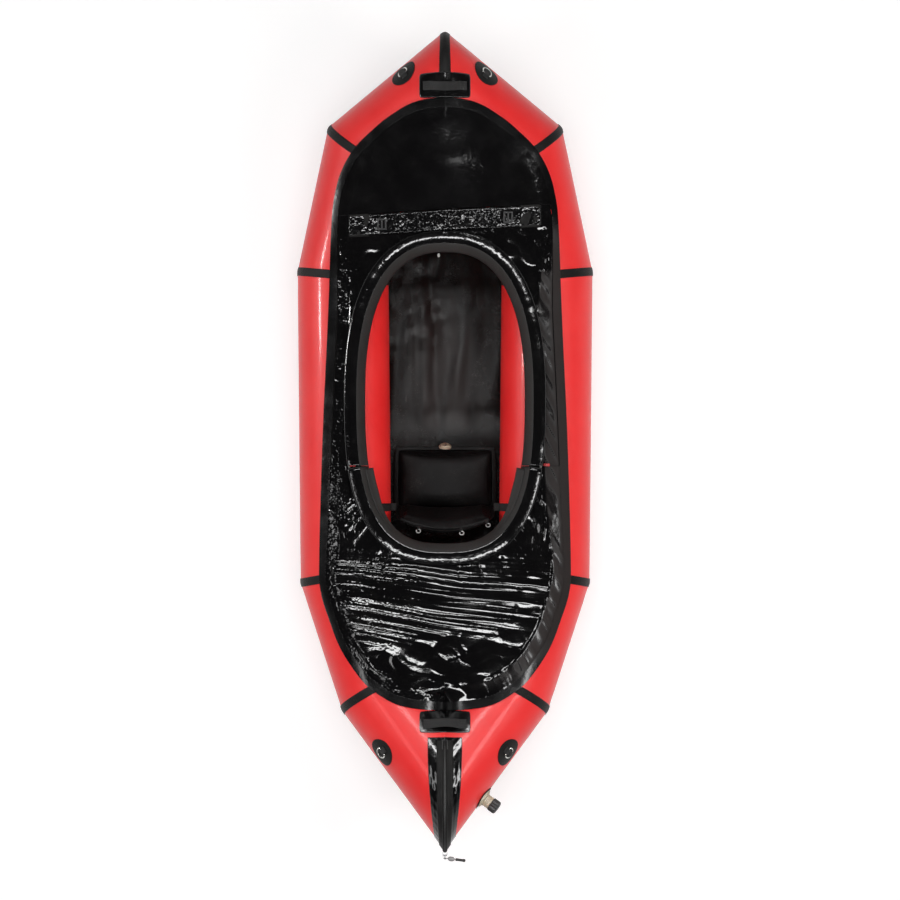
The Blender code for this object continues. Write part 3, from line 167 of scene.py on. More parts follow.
# Hull tubes: ten lengths of red coated nylon, welded at mitred joints into one air ring.
# Full of air they are round and taut; the cloth draws into small puckers beside each joint,
# and the two bow tubes meet in a tip that is rounded rather than sharp.
tube_radius = 0.148
ring_half = ((0.0, 1.13294, 0.2894), (0.24432, 0.94954, 0.1914), (0.33184, 0.55356, 0.1494),
             (0.32224, -0.41916, 0.1494), (0.19976, -0.78483, 0.1914), (0.0, -1.03994, 0.2794))
ring = [Vector(p) for p in ring_half] + [Vector((-x, y, z)) for x, y, z in ring_half[4:0:-1]]
BOW, FRONT_SHOULDER, FRONT_SIDE, REAR_SIDE, REAR_SHOULDER, STERN = range(6)
panels = len(ring)
up = Vector((0, 0, 1))
ways = [(ring[(k + 1) % panels] - ring[k]).normalized() for k in range(panels)]
mitres = [(ways[k - 1] + ways[k]).normalized() for k in range(panels)]
tops = [(up - d * d.z).normalized() for d in ways]
sides = [t.cross(d) for t, d in zip(tops, ways)]
rows_round = 96
turns = np.linspace(-math.pi, math.pi, rows_round + 1)
from_seam = np.array((0, .0035, .007, .0105, .014, .0165, .020, .0255, .033, .043, .054, .070, .095))
middle_step = 0.030
pucker_depth = 0.0011
pucker_pitch = 0.019


def smooth_step(values, low, high):
    """From 0 at the low value to 1 at the high one, without a corner at either."""
    share = np.clip((values - low) / (high - low), 0, 1)
    return share * share * (3 - 2 * share)


def cut_line(panel, corner, base):
    """Along the tube at each angle, where its mitred end lies, and how much it slants there."""
    out = np.outer(np.cos(turns), tops[panel]) + np.outer(np.sin(turns), sides[panel])
    turned = np.outer(np.cos(turns), sides[panel]) - np.outer(np.sin(turns), tops[panel])
    square = ways[panel].dot(mitres[corner])
    line = base - tube_radius * (out @ np.array(mitres[corner])) / square
    slant = (turned @ np.array(mitres[corner])) / square
    return out, line, np.sqrt(1 + slant ** 2)


hull_columns = []
seam_column = []
for panel in range(panels):
    end = (panel + 1) % panels
    length = (ring[end] - ring[panel]).length
    out, near, near_slant = cut_line(panel, panel, 0.0)
    far, far_slant = cut_line(panel, end, length)[1:]
    fit = np.minimum(1, (far - near) / ((near_slant + far_slant) * 0.1))
    first = near + from_seam[:, None] * near_slant * fit
    last = far - from_seam[::-1, None] * far_slant * fit
    cells = max(4, int(length / middle_step) - 5)
    shares = np.linspace(0, 1, cells + 1)[1:-1, None]
    along = np.vstack((first, first[-1] + (last[0] - first[-1]) * shares, last[:-1]))
    away = np.minimum((along - near) / near_slant, (far - along) / far_slant)
    waves = 0.5 + 0.5 * np.cos(2 * math.pi * turns * tube_radius / pucker_pitch + panel)
    pinch = smooth_step(away, 0.014, 0.024) * (1 - smooth_step(away, 0.028, 0.080))
    radius = tube_radius - pucker_depth * waves * pinch
    seam_column.append(sum(len(c) for c in hull_columns))
    hull_columns.append(np.array(ring[panel]) + along[..., None] * np.array(ways[panel])
                        + out[None] * radius[..., None])
hull_grid = np.vstack(hull_columns)
column_total = len(hull_grid)


def soften(grid, column, reach, passes):
    """Round the joint at a column by drawing its neighbours together."""
    spots = np.arange(column - reach, column + reach + 1) % len(grid)
    for _ in range(passes):
        part = grid[spots]
        part[1:-1] = 0.25 * part[:-2] + 0.5 * part[1:-1] + 0.25 * part[2:]
        grid[spots] = part


for corner in range(panels):
    soften(hull_grid, seam_column[corner], 9, {BOW: 16, STERN: 1}.get(corner, 3))


def grid_normals(grid, closed):
    """Unit normals of a grid of points; closed says that its first axis runs in a ring."""
    if closed:
        along = np.roll(grid, -1, 0) - np.roll(grid, 1, 0)
    else:
        along = np.gradient(grid, axis=0)
    normals = np.cross(along, np.gradient(grid, axis=1))
    return normals / np.maximum(np.linalg.norm(normals, axis=2, keepdims=True), 1e-12)


hull_normals = grid_normals(hull_grid, True)
middle_out = hull_grid[seam_column[FRONT_SIDE] + 20, rows_round * 3 // 4] - np.array(ring[2])
if hull_normals[seam_column[FRONT_SIDE] + 20, rows_round * 3 // 4][0] * middle_out[0] < 0:
    hull_normals = -hull_normals


def laid_sheet(name, points, facing, material, thickness=0.0, weld=False, marks=None):
    """A grid bent to lie on an array of points, facing the way given, with its own thickness.
    marks are named values at the points, which the finish reads."""
    columns, rows = points.shape[:2]
    bm = bmesh.new()
    bmesh.ops.create_grid(bm, x_segments=columns - 1, y_segments=rows - 1, size=0.5)
    marks = [(bm.verts.layers.float.new(label), values) for label, values in (marks or {}).items()]
    for vert in bm.verts:
        i = round((vert.co.x + 0.5) * (columns - 1))
        j = round((vert.co.y + 0.5) * (rows - 1))
        vert.co = points[i, j]
        for layer, values in marks:
            vert[layer] = values[i, j]
    i, j = columns // 2, rows // 2
    across = np.cross(points[i, j] - points[i - 1, j], points[i, j] - points[i, j - 1])
    if across @ np.array(facing) < 0:
        bmesh.ops.reverse_faces(bm, faces=bm.faces)
    if weld:
        bmesh.ops.remove_doubles(bm, verts=bm.verts, dist=1e-6)
    return skin(name, bm, material, thickness)


def skin(name, bm, material, thickness=0.0, sharp=math.radians(50)):
    """An object made of a bmesh, smooth but for its sharp edges."""
    mesh = bpy.data.meshes.new(name)
    bm.to_mesh(mesh)
    bm.free()
    mesh.shade_smooth()
    mesh.set_sharp_from_angle(angle=sharp)
    made = bpy.data.objects.new(name, mesh)
    bpy.context.scene.collection.objects.link(made)
    mesh.materials.append(material)
    if thickness:
        thicken(made, thickness, 1.0, even=True)
    return made


def thicken(made, thickness, offset, even=False):
    """Give a sheet its thickness, outward (1) or inward (-1)."""
    solid = made.modifiers.new("thickness", "SOLIDIFY")
    solid.thickness = thickness
    solid.offset = offset
    solid.use_even_offset = solid.use_quality_normals = even


def fit_out(made, body, slot, *stands_for):
    """Ride on a body and stand for the solids named; the slot is not used."""
    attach(made, body)
    if stands_for:
        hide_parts(*stands_for)
    return made


def dress(material, *nodes):
    """A material for solids that show as they are."""
    for node in nodes:
        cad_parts[node].data.materials.clear()
        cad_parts[node].data.materials.append(material)


def effect(name, inputs, outputs):
    """A shader node group with named inputs and outputs, and the place in space it reads."""
    group = bpy.data.node_groups.new(name, "ShaderNodeTree")
    for label, value in inputs:
        socket = group.interface.new_socket(label, in_out="INPUT", socket_type="NodeSocketFloat")
        socket.default_value = value
    for label in outputs:
        group.interface.new_socket(label, in_out="OUTPUT", socket_type="NodeSocketFloat")
    return (group, group.nodes.new("NodeGroupInput"), group.nodes.new("NodeGroupOutput"),
            group.nodes.new("ShaderNodeTexCoord"))


# Plain weave under a coating: two crossed thread directions, softened, with slubs.
weave, given, result, where = effect("coated_weave", [("Threads", 900.0), ("Slubs", 60.0)],
                                     ["Height", "Mottle"])
warp = put(weave, "TexWave", [("Distortion", 0.6)], bands_direction="X")
weft = put(weave, "TexWave", [("Distortion", 0.6)], bands_direction="Y")
both = put(weave, "Math", operation="MAXIMUM")
slubs = put(weave, "TexNoise", [("Detail", 4.0), ("Roughness", 0.6)])
rough_sum = put(weave, "Math", [(1, 0.5)], operation="MULTIPLY_ADD")
mottle = put(weave, "TexNoise", [("Scale", 5.0), ("Detail", 3.0)])
join(weave, (where, "Object", warp, "Vector"), (where, "Object", weft, "Vector"),
     (given, "Threads", warp, "Scale"), (given, "Threads", weft, "Scale"),
     (warp, 0, both, 0), (weft, 0, both, 1), (where, "Object", slubs, "Vector"),
     (given, "Slubs", slubs, "Scale"), (slubs, 0, rough_sum, 0), (both, 0, rough_sum, 2),
     (rough_sum, 0, result, "Height"), (where, "Object", mottle, "Vector"),
     (mottle, 0, result, "Mottle"))

# Scuffs and dust: sparse blotches broken up by a finer grain.
scuffs, given, result, where = effect("scuffs", [("Size", 14.0), ("Amount", 0.5)], ["Mask"])
blotch = put(scuffs, "TexNoise", [("Detail", 6.0), ("Roughness", 0.7)])
speck = put(scuffs, "TexNoise", [("Scale", 420.0), ("Detail", 2.0)])
edge = put(scuffs, "MapRange", [(1, 0.52), (2, 0.72)])
grit = put(scuffs, "MapRange", [(1, 0.50), (2, 0.68)])
masked = put(scuffs, "Math", operation="MULTIPLY")
scaled = put(scuffs, "Math", operation="MULTIPLY")
join(scuffs, (where, "Object", blotch, "Vector"), (given, "Size", blotch, "Scale"),
     (where, "Object", speck, "Vector"), (blotch, 0, edge, 0), (speck, 0, grit, 0),
     (edge, 0, masked, 0), (grit, 0, masked, 1), (masked, 0, scaled, 0),
     (given, "Amount", scaled, 1), (scaled, 0, result, "Mask"))


def finish(name, dark, light, roughness, spread=0.08, bump=0.2, threads=900.0, dust=0.4,
           dust_colour=(0.45, 0.43, 0.40), specular=0.5, metallic=0.0, grain=0.0004):
    """Two close tones mottled together, a woven or grained bump, and dust that dulls the gloss."""
    made, tree, shader = new_material(name)
    cloth = put(tree, "Group", node_tree=weave)
    cloth.inputs["Threads"].default_value = threads
    wear = put(tree, "Group", node_tree=scuffs)
    wear.inputs["Amount"].default_value = dust
    spots = put(tree, "MapRange", [(1, 0.35), (2, 0.65)])
    tone = put(tree, "Mix", [(6, (*dark, 1)), (7, (*light, 1))], data_type="RGBA")
    dusty = put(tree, "Mix", [(7, (*dust_colour, 1))], data_type="RGBA")
    thin = put(tree, "Math", [(1, 0.25)], operation="MULTIPLY")
    gloss = put(tree, "MapRange", [(3, roughness - spread), (4, roughness + spread)])
    dull = put(tree, "Math", operation="ADD", use_clamp=True)
    relief = put(tree, "Bump", [("Strength", bump), ("Distance", grain)])
    join(tree, (cloth, "Mottle", spots, 0), (spots, 0, tone, 0), (wear, "Mask", thin, 0),
         (thin, 0, dusty, 0), (tone, 2, dusty, 6), (dusty, 2, shader, "Base Color"),
         (cloth, "Mottle", gloss, 0), (gloss, 0, dull, 0), (thin, 0, dull, 1),
         (dull, 0, shader, "Roughness"), (cloth, "Height", relief, "Height"),
         (relief, 0, shader, "Normal"))
    shader.inputs["Specular IOR Level"].default_value = specular
    shader.inputs["Metallic"].default_value = metallic
    return made


red_cloth = finish("red_coated_nylon", (0.93, 0.026, 0.027), (0.98, 0.036, 0.035), 0.40,
                   spread=0.05, bump=0.12, threads=1100.0, dust=0.30,
                   dust_colour=(0.90, 0.40, 0.37), specular=0.25)
red_cloth.node_tree.nodes["Principled BSDF"].inputs["Coat Weight"].default_value = 0.16
red_cloth.node_tree.nodes["Principled BSDF"].inputs["Coat Roughness"].default_value = 0.11
tube_names = [f"{part}_tube_{side}" for side in ("starboard", "port")
              for part in ("bow", "front", "side", "rear", "stern")]
hull_ring = np.concatenate((hull_grid, hull_grid[:1]))
hull_tubes = laid_sheet("hull_tubes", hull_ring, hull_normals[column_total // 2, rows_round // 2],
                        red_cloth, weld=True)
fit_out(hull_tubes, "hull", "red_coated_fabric", *tube_names)

# Joint tapes: matte black coated strip, 27 to 33 mm wide, welded over the joints between the
# tubes. Each is a strip of the tube's own surface, so that it lies in the joint's slight fold.
tape_cloth = finish("matte_black_tape", (0.0050, 0.0045, 0.0045), (0.0095, 0.0085, 0.0080), 0.50,
                    bump=0.25, threads=700.0, dust=0.4, specular=0.13)
tape_lift = 0.0011
tape_thickness = 0.0005
tape_reach = 4
bow_tape_reach = 5


def row_at(angle):
    """The row of the tubes' grid at an angle from their top."""
    return int(round((angle + math.pi) / (2 * math.pi) * rows_round))


def seam_strip(name, corner, reach, first, last):
    """A tape over the joint at a corner, so many columns to each side, between two angles."""
    columns = np.arange(seam_column[corner] - reach, seam_column[corner] + reach + 1) % column_total
    rows = np.arange(row_at(first), row_at(last) + 1)
    pick = np.ix_(columns, rows)
    points = hull_grid[pick] + hull_normals[pick] * tape_lift
    centre = hull_normals[columns[reach], rows[len(rows) // 2]]
    return laid_sheet(name, points, centre, tape_cloth, tape_thickness)


for label, corner, last in (("front_shoulder", FRONT_SHOULDER, 135), ("front_side", FRONT_SIDE, 153),
                            ("rear_side", REAR_SIDE, 153), ("rear_shoulder", REAR_SHOULDER, 135)):
    for side, spot in (("starboard", corner), ("port", panels - corner)):
        tape = seam_strip(f"{label}_tape_{side}_cloth", spot, tape_reach, math.radians(-144),
                          math.radians(last))
        fit_out(tape, "hull", "matte_black_tape", f"{label}_tape_{side}")
bow_tape = seam_strip("bow_tape_cloth", BOW, bow_tape_reach, math.radians(8), math.radians(135))
fit_out(bow_tape, "hull", "matte_black_tape", "bow_tape")

# Deck: glossy black film-coated nylon. The bow part is drawn tight and smooth. Round the
# cockpit and over the stern it is slack, and folds into long creases and crumpled lobes.
bow_reach, stern_reach, widest_half = 1.318, 1.280, 0.480
deck_edge = [(0.0, 0.827), (0.204, 0.818), (0.370, 0.787), (0.486, 0.755), (0.597, 0.717),
             (0.681, 0.667), (0.728, 0.611), (0.753, 0.534), (0.777, 0.307), (0.814, 0.016),
             (0.837, -0.284), (0.827, -0.363), (0.770, -0.432), (0.689, -0.506), (0.552, -0.578),
             (0.442, -0.612), (0.319, -0.636), (0.166, -0.648), (0.0, -0.653)]
mouth_half, mouth_y, mouth_front, mouth_rear = 0.254, 0.152, 0.465, 0.460
front_power, rear_power = 2.45, 2.8
front_anchor, rear_anchor = 0.400, -0.150
foot_base, foot_rise = 0.302, 0.012
deck_lift, end_bend, bow_ramp, stern_ramp = 0.0034, 0.20, 0.20, 0.08
leave_round, leave_from, leave_to = 0.007, 0.030, 0.075
fold_y, fold_slope, split_y, slot_width = 0.752, 0.055, -0.062, 0.0016


def edge_line(cells):
    """The deck's starboard edge: an even curve through its shares of the boat's reaches."""
    knots = [Vector((x * widest_half, y * (bow_reach if y > 0 else stern_reach)))
             for x, y in deck_edge]
    knots = [Vector((-knots[1].x, knots[1].y))] + knots + [Vector((-knots[-2].x, knots[-2].y))]
    line = []
    for a, b, c, d in zip(knots, knots[1:], knots[2:], knots[3:]):
        for step in range(cells):
            t = step / cells
            line.append(0.5 * (2 * b + (c - a) * t + (2 * a - 5 * b + 4 * c - d) * t ** 2
                               + (3 * b - a - 3 * c + d) * t ** 3))
    return np.array(line + [knots[-2]])


def egg_line(cells):
    """The starboard half of the cockpit's egg-shaped mouth, from its front to its rear."""
    turn = np.linspace(math.pi / 2, -math.pi / 2, cells + 1)
    power = np.where(turn >= 0, front_power, rear_power)
    reach = np.where(turn >= 0, mouth_front, mouth_rear)
    x = mouth_half * np.maximum(np.cos(turn), 0) ** (2 / power)
    y = mouth_y + reach * np.sign(turn) * np.abs(np.sin(turn)) ** (2 / power)
    return np.stack((x, y), 1)


def paired_loop(line, finer):
    """Whole loop of stations that pair up with those of any other such loop."""
    first = np.argmax(line[:, 1] < front_anchor)
    second = np.argmax(line[:, 1] < rear_anchor)
    half = []
    for part, cells, crowding in ((line[:first + 1], 16, 1.0), (line[first:second + 1], 6, 1.0),
                                  (line[second:], 16, 1.3)):
        run = np.concatenate(([0], np.cumsum(np.linalg.norm(np.diff(part, axis=0), axis=1))))
        steps = np.linspace(0, 1, cells * finer + 1)
        wanted = run[-1] * (1 - (1 - steps) ** crowding)
        spots = np.stack([np.interp(wanted, run, part[:, k]) for k in (0, 1)], 1)
        half.append(spots if not half else spots[1:])
    half = np.concatenate(half)
    return np.concatenate((half, half[-2:0:-1] * (-1, 1)))


def tube_top(x, y, lift):
    """Height of the tube ring's upper side over each point, or minus one beside it."""
    best = np.full(x.shape, -1.0)
    for k in range(panels):
        start, way = np.array(ring[k]), np.array(ways[k])
        run = (x - start[0]) * way[0] + (y - start[1]) * way[1]
        flat = (x - start[0]) ** 2 + (y - start[1]) ** 2
        a = 1 - way[2] ** 2
        b = -2 * way[2] * run
        root = b * b - 4 * a * (flat - run ** 2 - (tube_radius + lift) ** 2)
        z = start[2] + (-b + np.sqrt(np.maximum(root, 0))) / (2 * a)
        points = np.stack((x, y, z), -1)
        begin = (points - start) @ np.array(mitres[k])
        stop = (points - np.array(ring[(k + 1) % panels])) @ np.array(mitres[(k + 1) % panels])
        inside = (root >= 0) & (begin > -1e-5) & (stop < 1e-5)
        best = np.where(inside & (z > best), z, best)
    return best


def foot_height(y):
    """Height of the mouth's edge, which rises a little to the front."""
    return foot_base + foot_rise * np.maximum(0, (y - mouth_y) / mouth_front) ** 2


def deck_rays(finer, shares):
    """Points in from the welded edge to the cockpit's mouth, and how far in each one is."""
    edge, mouth = paired_loop(edge_line(48), finer), paired_loop(egg_line(1600), finer)
    edge, mouth = (np.concatenate((loop, loop[:1])) for loop in (edge, mouth))
    span = np.linalg.norm(mouth - edge, axis=1)[:, None]
    flat = edge[:, None] + (mouth - edge)[:, None] * shares[None, :, None]
    edge_height = tube_top(edge[:, 0], edge[:, 1], deck_lift)[:, None]
    height = edge_height + (foot_height(mouth[:, 1])[:, None] - edge_height) * shares
    height = np.maximum(height, tube_top(flat[..., 0], flat[..., 1], deck_lift))
    return np.dstack((flat, height)), span * shares, span * (1 - shares)


def noise_over(points, scale, shift=0.0):
    """Noise at each point of an array, stretched by a scale for each of its two directions."""
    flat = points.reshape(-1, 2) * scale + shift
    return np.array([noise.noise((a, b, shift)) for a, b in flat]).reshape(points.shape[:-1])


def creases(points, scale, shift=0.0, sharp=1.1, steep=2.2):
    """Sharp ridges with smooth slopes between them, from 0 to 1; steep ones leave flats."""
    return (1 - np.minimum(1, np.abs(noise_over(points, scale, shift)) * steep)) ** sharp


def film_folds(points, from_edge, from_mouth):
    """Height of the slack film's creases over its drawn-out surface, and what its finish needs: where
    the starboard margin gets a painted reflection, where it is drawn from side to side, and how the folds
    run there."""
    x, y = points[..., 0], points[..., 1]
    flat = points[..., :2]
    sway = np.stack((noise_over(flat, (5, 5), 3.1), noise_over(flat, (5, 5), 7.7)), -1)
    stern = smooth_step(-y + 0.10 * x, 0.56, 0.64)
    across = smooth_step(-y, 0.30, 0.40) * (1 - stern)
    beside = smooth_step(np.abs(x), 0.24, 0.31) * smooth_step(y, -0.40, -0.28)
    ahead = smooth_step(y, 0.50, 0.60)
    # Taut folds from side to side behind the cockpit, that fan out to starboard.
    lay = (y + 0.44 + 0.10 * x) * (1.25 - 0.55 * x) + sway[..., 1] * 0.010
    long_folds = creases(np.stack((x, lay), -1), (0.8, 13), 4.4) * 0.0030
    # Crumpled lobes over the stern tubes: broad facets with smaller ones in them.
    lobes = (creases(flat + sway * 0.05, (6, 8), 2.2, 1.0, 2.0) * 0.0070
             + creases(flat + sway * 0.03, (17, 19), 5.9, 1.0, 5.0) * 0.0010)
    # Lengthwise puckers in the narrow film beside the cockpit.
    puckers = (creases(flat + sway * 0.02, (46, 4.5), 1.9) * 0.0022
               + creases(flat + sway * 0.03, (80, 30), 3.7) * 0.0010)
    # Diagonal folds that run out from the cockpit's rear corners.
    around = np.stack((np.arctan2(x, y - mouth_y + 0.1), np.hypot(x, y - mouth_y)), -1)
    fan = creases(around, (13, 3.5), 6.6) * 0.0040 * (1 - smooth_step(from_mouth, 0.09, 0.17))
    front = creases(flat + sway * 0.03, (17, 15), 2.8, 1.0, 5.0) * 0.0016
    height = (across * long_folds + stern * lobes + beside * puckers + ahead * front
              + (1 - stern) * (1 - ahead) * fan * smooth_step(-y, 0.05, 0.26))
    band = np.abs(y - fold_y - fold_slope * x + 0.035)
    margin = np.where(y > 0.56, 0.034, np.where(x > 0, 0.074, 0.050))
    calm = (smooth_step(from_edge, margin, margin + 0.016) * smooth_step(from_mouth, 0.004, 0.030)
            * smooth_step(band, 0.034, 0.050))
    slant = np.stack((x + 0.50 * y, y), -1)
    rim = (creases(flat + sway * 0.02, (26, 26), 9.4) * 0.0007
           + creases(slant, (26, 2.0), 0.6, 1.0, 3.0) * np.where(x > 0, 0.0018, 0.0006))
    # The starboard margin, where the film lies flat on the tube, gets a painted reflection: a brownish grey
    # tint, broken by darker diagonal lines that are painted fold shade.
    painted_reflection = (1 - smooth_step(from_edge, margin - 0.004, margin + 0.005)) * (x > 0)
    painted_reflection = painted_reflection * smooth_step(-y, -0.66, -0.50) * (1 - smooth_step(-y, 0.66, 0.78))
    dark = creases(slant, (30, 3.5), 3.0, 1.0, 4.0) * smooth_step(from_edge, 0.030, 0.045)
    painted_reflection = painted_reflection * (1 - 0.85 * dark)
    height = height * calm + rim * smooth_step(from_edge, 0.020, 0.034) * (1 - calm)
    # Where the film is crumpled small: port side, stern, and two places on the bow deck.
    crumpled = np.maximum(stern * 0.10,
                          across * (1 - smooth_step(x + 0.5 * (y + 0.5), -0.20, -0.02)) * 0.6)
    left = (1 - smooth_step(from_edge, 0.060, 0.085)) * (x < 0) * smooth_step(-y, -0.72, -0.60) * 0.8
    bow = (smooth_step(y, 0.76, 0.79) * (1 - smooth_step(y, 0.86, 1.00))
           * smooth_step(x, 0.02, 0.12) * 0.35)
    shine = np.exp(-((x - 0.03) ** 2 + (y - 1.0) ** 2) / 0.006) * 0.35
    crumpled = np.maximum(np.maximum(crumpled * calm, left), bow + shine)
    return height, {"margin": painted_reflection, "across": across * calm, "lay": lay, "crumpled": crumpled}


def ridges(tree, waves, reach, tall):
    """Ridges where a noise crosses its middle: tall there, and nothing from the reach on."""
    centred = put(tree, "Math", [(1, 0.5)], operation="SUBTRACT")
    folded = put(tree, "Math", operation="ABSOLUTE")
    ridge = put(tree, "MapRange", [(1, 0.0), (2, reach), (3, tall), (4, 0.0)])
    join(tree, (waves, 0, centred, 0), (centred, 0, folded, 0), (folded, 0, ridge, 0))
    return ridge


# Long folds of drawn film: ridges along the sheet's own lay, each with a smooth flank.
drawn, given, result, where = effect("drawn_folds", [("Lay", 0.0)], ["Height"])
spot = put(drawn, "SeparateXYZ")
join(drawn, (where, "Object", spot, 0))
total = None
for along, over, tall in ((0.9, 25.0, 1.0), (2.0, 56.0, 0.26)):
    slow = put(drawn, "Math", [(1, along)], operation="MULTIPLY")
    fast = put(drawn, "Math", [(1, over)], operation="MULTIPLY")
    place = put(drawn, "CombineXYZ", [(2, over)])
    waves = put(drawn, "TexNoise", [("Scale", 1.0), ("Detail", 0.6), ("Roughness", 0.4)])
    ridge = ridges(drawn, waves, 0.22, tall)
    join(drawn, (spot, 0, slow, 0), (given, "Lay", fast, 0), (slow, 0, place, 0), (fast, 0, place, 1),
         (place, 0, waves, "Vector"))
    if total:
        both = put(drawn, "Math", operation="ADD")
        join(drawn, (total, 0, both, 0), (ridge, 0, both, 1), (both, 0, result, "Height"))
    total = ridge

# Fine creases of film, for the bump that the folds' mesh is too coarse to hold.
crackle, given, result, where = effect("film_crackle", [("Size", 60.0)], ["Height", "Gloss"])
stir = put(crackle, "TexNoise", [("Scale", 9.0), ("Detail", 3.0)])
bend = put(crackle, "VectorMath", [(1, (0.05, 0.05, 0.05))], operation="MULTIPLY")
moved = put(crackle, "VectorMath", operation="ADD")
veins = put(crackle, "TexNoise", [("Detail", 1.0), ("Roughness", 0.4)])
ridge = ridges(crackle, veins, 0.16, 1.0)
ripple = put(crackle, "TexNoise", [("Scale", 26.0), ("Detail", 2.0), ("Roughness", 0.5)])
blend_up = put(crackle, "Math", [(1, 0.30)], operation="MULTIPLY_ADD")
patchy = put(crackle, "TexNoise", [("Scale", 16.0), ("Detail", 2.0)])
join(crackle, (where, "Object", stir, "Vector"), (stir, 1, bend, 0), (where, "Object", moved, 0),
     (bend, 0, moved, 1), (moved, 0, veins, "Vector"), (given, "Size", veins, "Scale"),
     (moved, 0, ripple, "Vector"), (ridge, 0, blend_up, 0), (ripple, 0, blend_up, 2),
     (blend_up, 0, result, "Height"), (where, "Object", patchy, "Vector"), (patchy, 0, result, "Gloss"))


def film_finish(name, roughness, spread, bump, size, colour=(0.0020, 0.0018, 0.0021), depth=0.0012,
                folds=False):
    """Black film: nearly no colour of its own, patches of higher and lower gloss, fine creases.
    Where a mesh is marked as margin, it lies flat on the tube, is matte, and is tinted a brownish
    grey that is a painted reflection; where it is marked as across, it is drawn into long folds."""
    made, tree, shader = new_material(name)
    film = put(tree, "Group", node_tree=crackle)
    film.inputs["Size"].default_value = size
    wear = put(tree, "Group", node_tree=scuffs)
    wear.inputs["Size"].default_value = 22.0
    wear.inputs["Amount"].default_value = 0.30
    marked = put(tree, "Attribute", attribute_name="margin")
    tone = put(tree, "Mix", [(6, (*colour, 1)), (7, (0.05, 0.047, 0.044, 1))], data_type="RGBA")
    # The margin's brownish grey tint is a painted reflection.
    painted_reflection = put(tree, "Mix", [(7, (0.0230, 0.0178, 0.0170, 1))], data_type="RGBA")
    gloss = put(tree, "MapRange", [(1, 0.3), (2, 0.7), (3, roughness - spread),
                                             (4, roughness + spread)])
    matte = put(tree, "Math", [(1, 0.46)], operation="MULTIPLY_ADD", use_clamp=True)
    relief = put(tree, "Bump", [("Strength", bump), ("Distance", depth)])
    mirror = put(tree, "MapRange", [(3, 0.5), (4, 0.12)])
    join(tree, (marked, "Fac", mirror, 0), (mirror, 0, shader, "Specular IOR Level"),
         (wear, "Mask", tone, 0), (marked, "Fac", painted_reflection, 0), (tone, 2, painted_reflection, 6),
         (painted_reflection, 2, shader, "Base Color"), (film, "Gloss", gloss, 0), (marked, "Fac", matte, 0),
         (gloss, 0, matte, 2), (matte, 0, shader, "Roughness"), (film, "Height", relief, "Height"),
         (relief, 0, shader, "Normal"))
    if folds:
        lay, across, crumpled = (put(tree, "Attribute", attribute_name=mark)
                                 for mark in ("lay", "across", "crumpled"))
        long_folds = put(tree, "Group", node_tree=drawn)
        here = put(tree, "Math", operation="MULTIPLY")
        drawn_up = put(tree, "Bump", [("Strength", 1.0), ("Distance", 0.0022)])
        little = put(tree, "Math", [(1, 1.0)], operation="MULTIPLY_ADD")
        little.inputs[2].default_value = bump
        join(tree, (lay, "Fac", long_folds, "Lay"), (long_folds, 0, here, 0), (across, "Fac", here, 1),
             (here, 0, drawn_up, "Height"), (relief, 0, drawn_up, "Normal"),
             (drawn_up, 0, shader, "Normal"), (crumpled, "Fac", little, 0), (little, 0, relief, "Strength"))
    return made


bow_film = film_finish("smooth_black_film", 0.13, 0.03, 0.05, 60, folds=True)
slack_film = film_finish("creased_black_film", 0.09, 0.03, 0.12, 70, folds=True)
fold_way = Vector((1, fold_slope, 0)).normalized()
fold_out = Vector((-fold_way.y, fold_way.x, 0))
bow_way = Vector((0, 1, 0))


def cut_away(made, cuts):
    """Trim a sheet at upright planes; each is a point and the direction of what stays."""
    bm = bmesh.new()
    bm.from_mesh(made.data)
    for point, keep in cuts:
        bmesh.ops.bisect_plane(bm, geom=bm.verts[:] + bm.edges[:] + bm.faces[:], plane_co=point,
                               plane_no=keep, clear_inner=True)
    bm.to_mesh(made.data)
    bm.free()


def rows_in(points, shares):
    """Flat places and heights at shares of the way from the welded edge to the mouth."""
    start, way = points[:, :1], points[:, -1:] - points[:, :1]
    return start[..., :2] + way[..., :2] * shares[..., None], start[..., 2] + way[..., 2] * shares


def deck_piece(name, finer, rows, start_inset, material, cuts, calm=1.0):
    """One deck panel: the drawn-out deck, raised by its creases and trimmed at its cuts. The film
    rounds off where it leaves the tubes and where the two sides meet over the bow and stern."""
    points, from_edge, _ = deck_rays(finer, np.linspace(0, 1, rows + 1))
    total = from_edge[:, -1:]
    # The outermost row moves in to the panel's own edge under the tape.
    shares = start_inset / total + (1 - start_inset / total) * np.linspace(0, 1, rows + 1)
    flat, height = rows_in(points, shares)
    inward = total * shares
    tube = tube_top(flat[..., 0], flat[..., 1], deck_lift)
    soft = leave_round * smooth_step(inward, leave_from, leave_to)
    over = np.where(tube < 0, height, 0.5 * (height + tube + np.sqrt((height - tube) ** 2 + soft ** 2)))
    height = np.maximum(over, tube)
    # Over the bow and stern the two sides' slopes run into each other in one even bend.
    half = len(flat) // 2
    for row in range(rows + 1):
        for ends, ramp in ((range(half // 3), bow_ramp), (range(half - half // 3, half + 1), stern_ramp)):
            away = flat[list(ends), row, 0]
            level = height[list(ends), row]
            order = np.argsort(away)
            drawn_out = np.where(away < end_bend, away ** 2 / (2 * end_bend) + end_bend / 2, away)
            eased = np.interp(drawn_out, away[order], level[order])
            keep = smooth_step(inward[list(ends), row], 0.015, ramp) * (away < end_bend)
            risen = np.maximum(level + (eased - level) * keep, tube[list(ends), row])
            height[list(ends), row] = risen
            height[[-1 - i for i in ends], row] = risen
    folds, marks = film_folds(flat, inward, total - inward)
    made = laid_sheet(name, np.dstack((flat, height + calm * folds)), (0, 0, 1), material, weld=True,
                      marks=marks)
    cut_away(made, cuts)
    return made


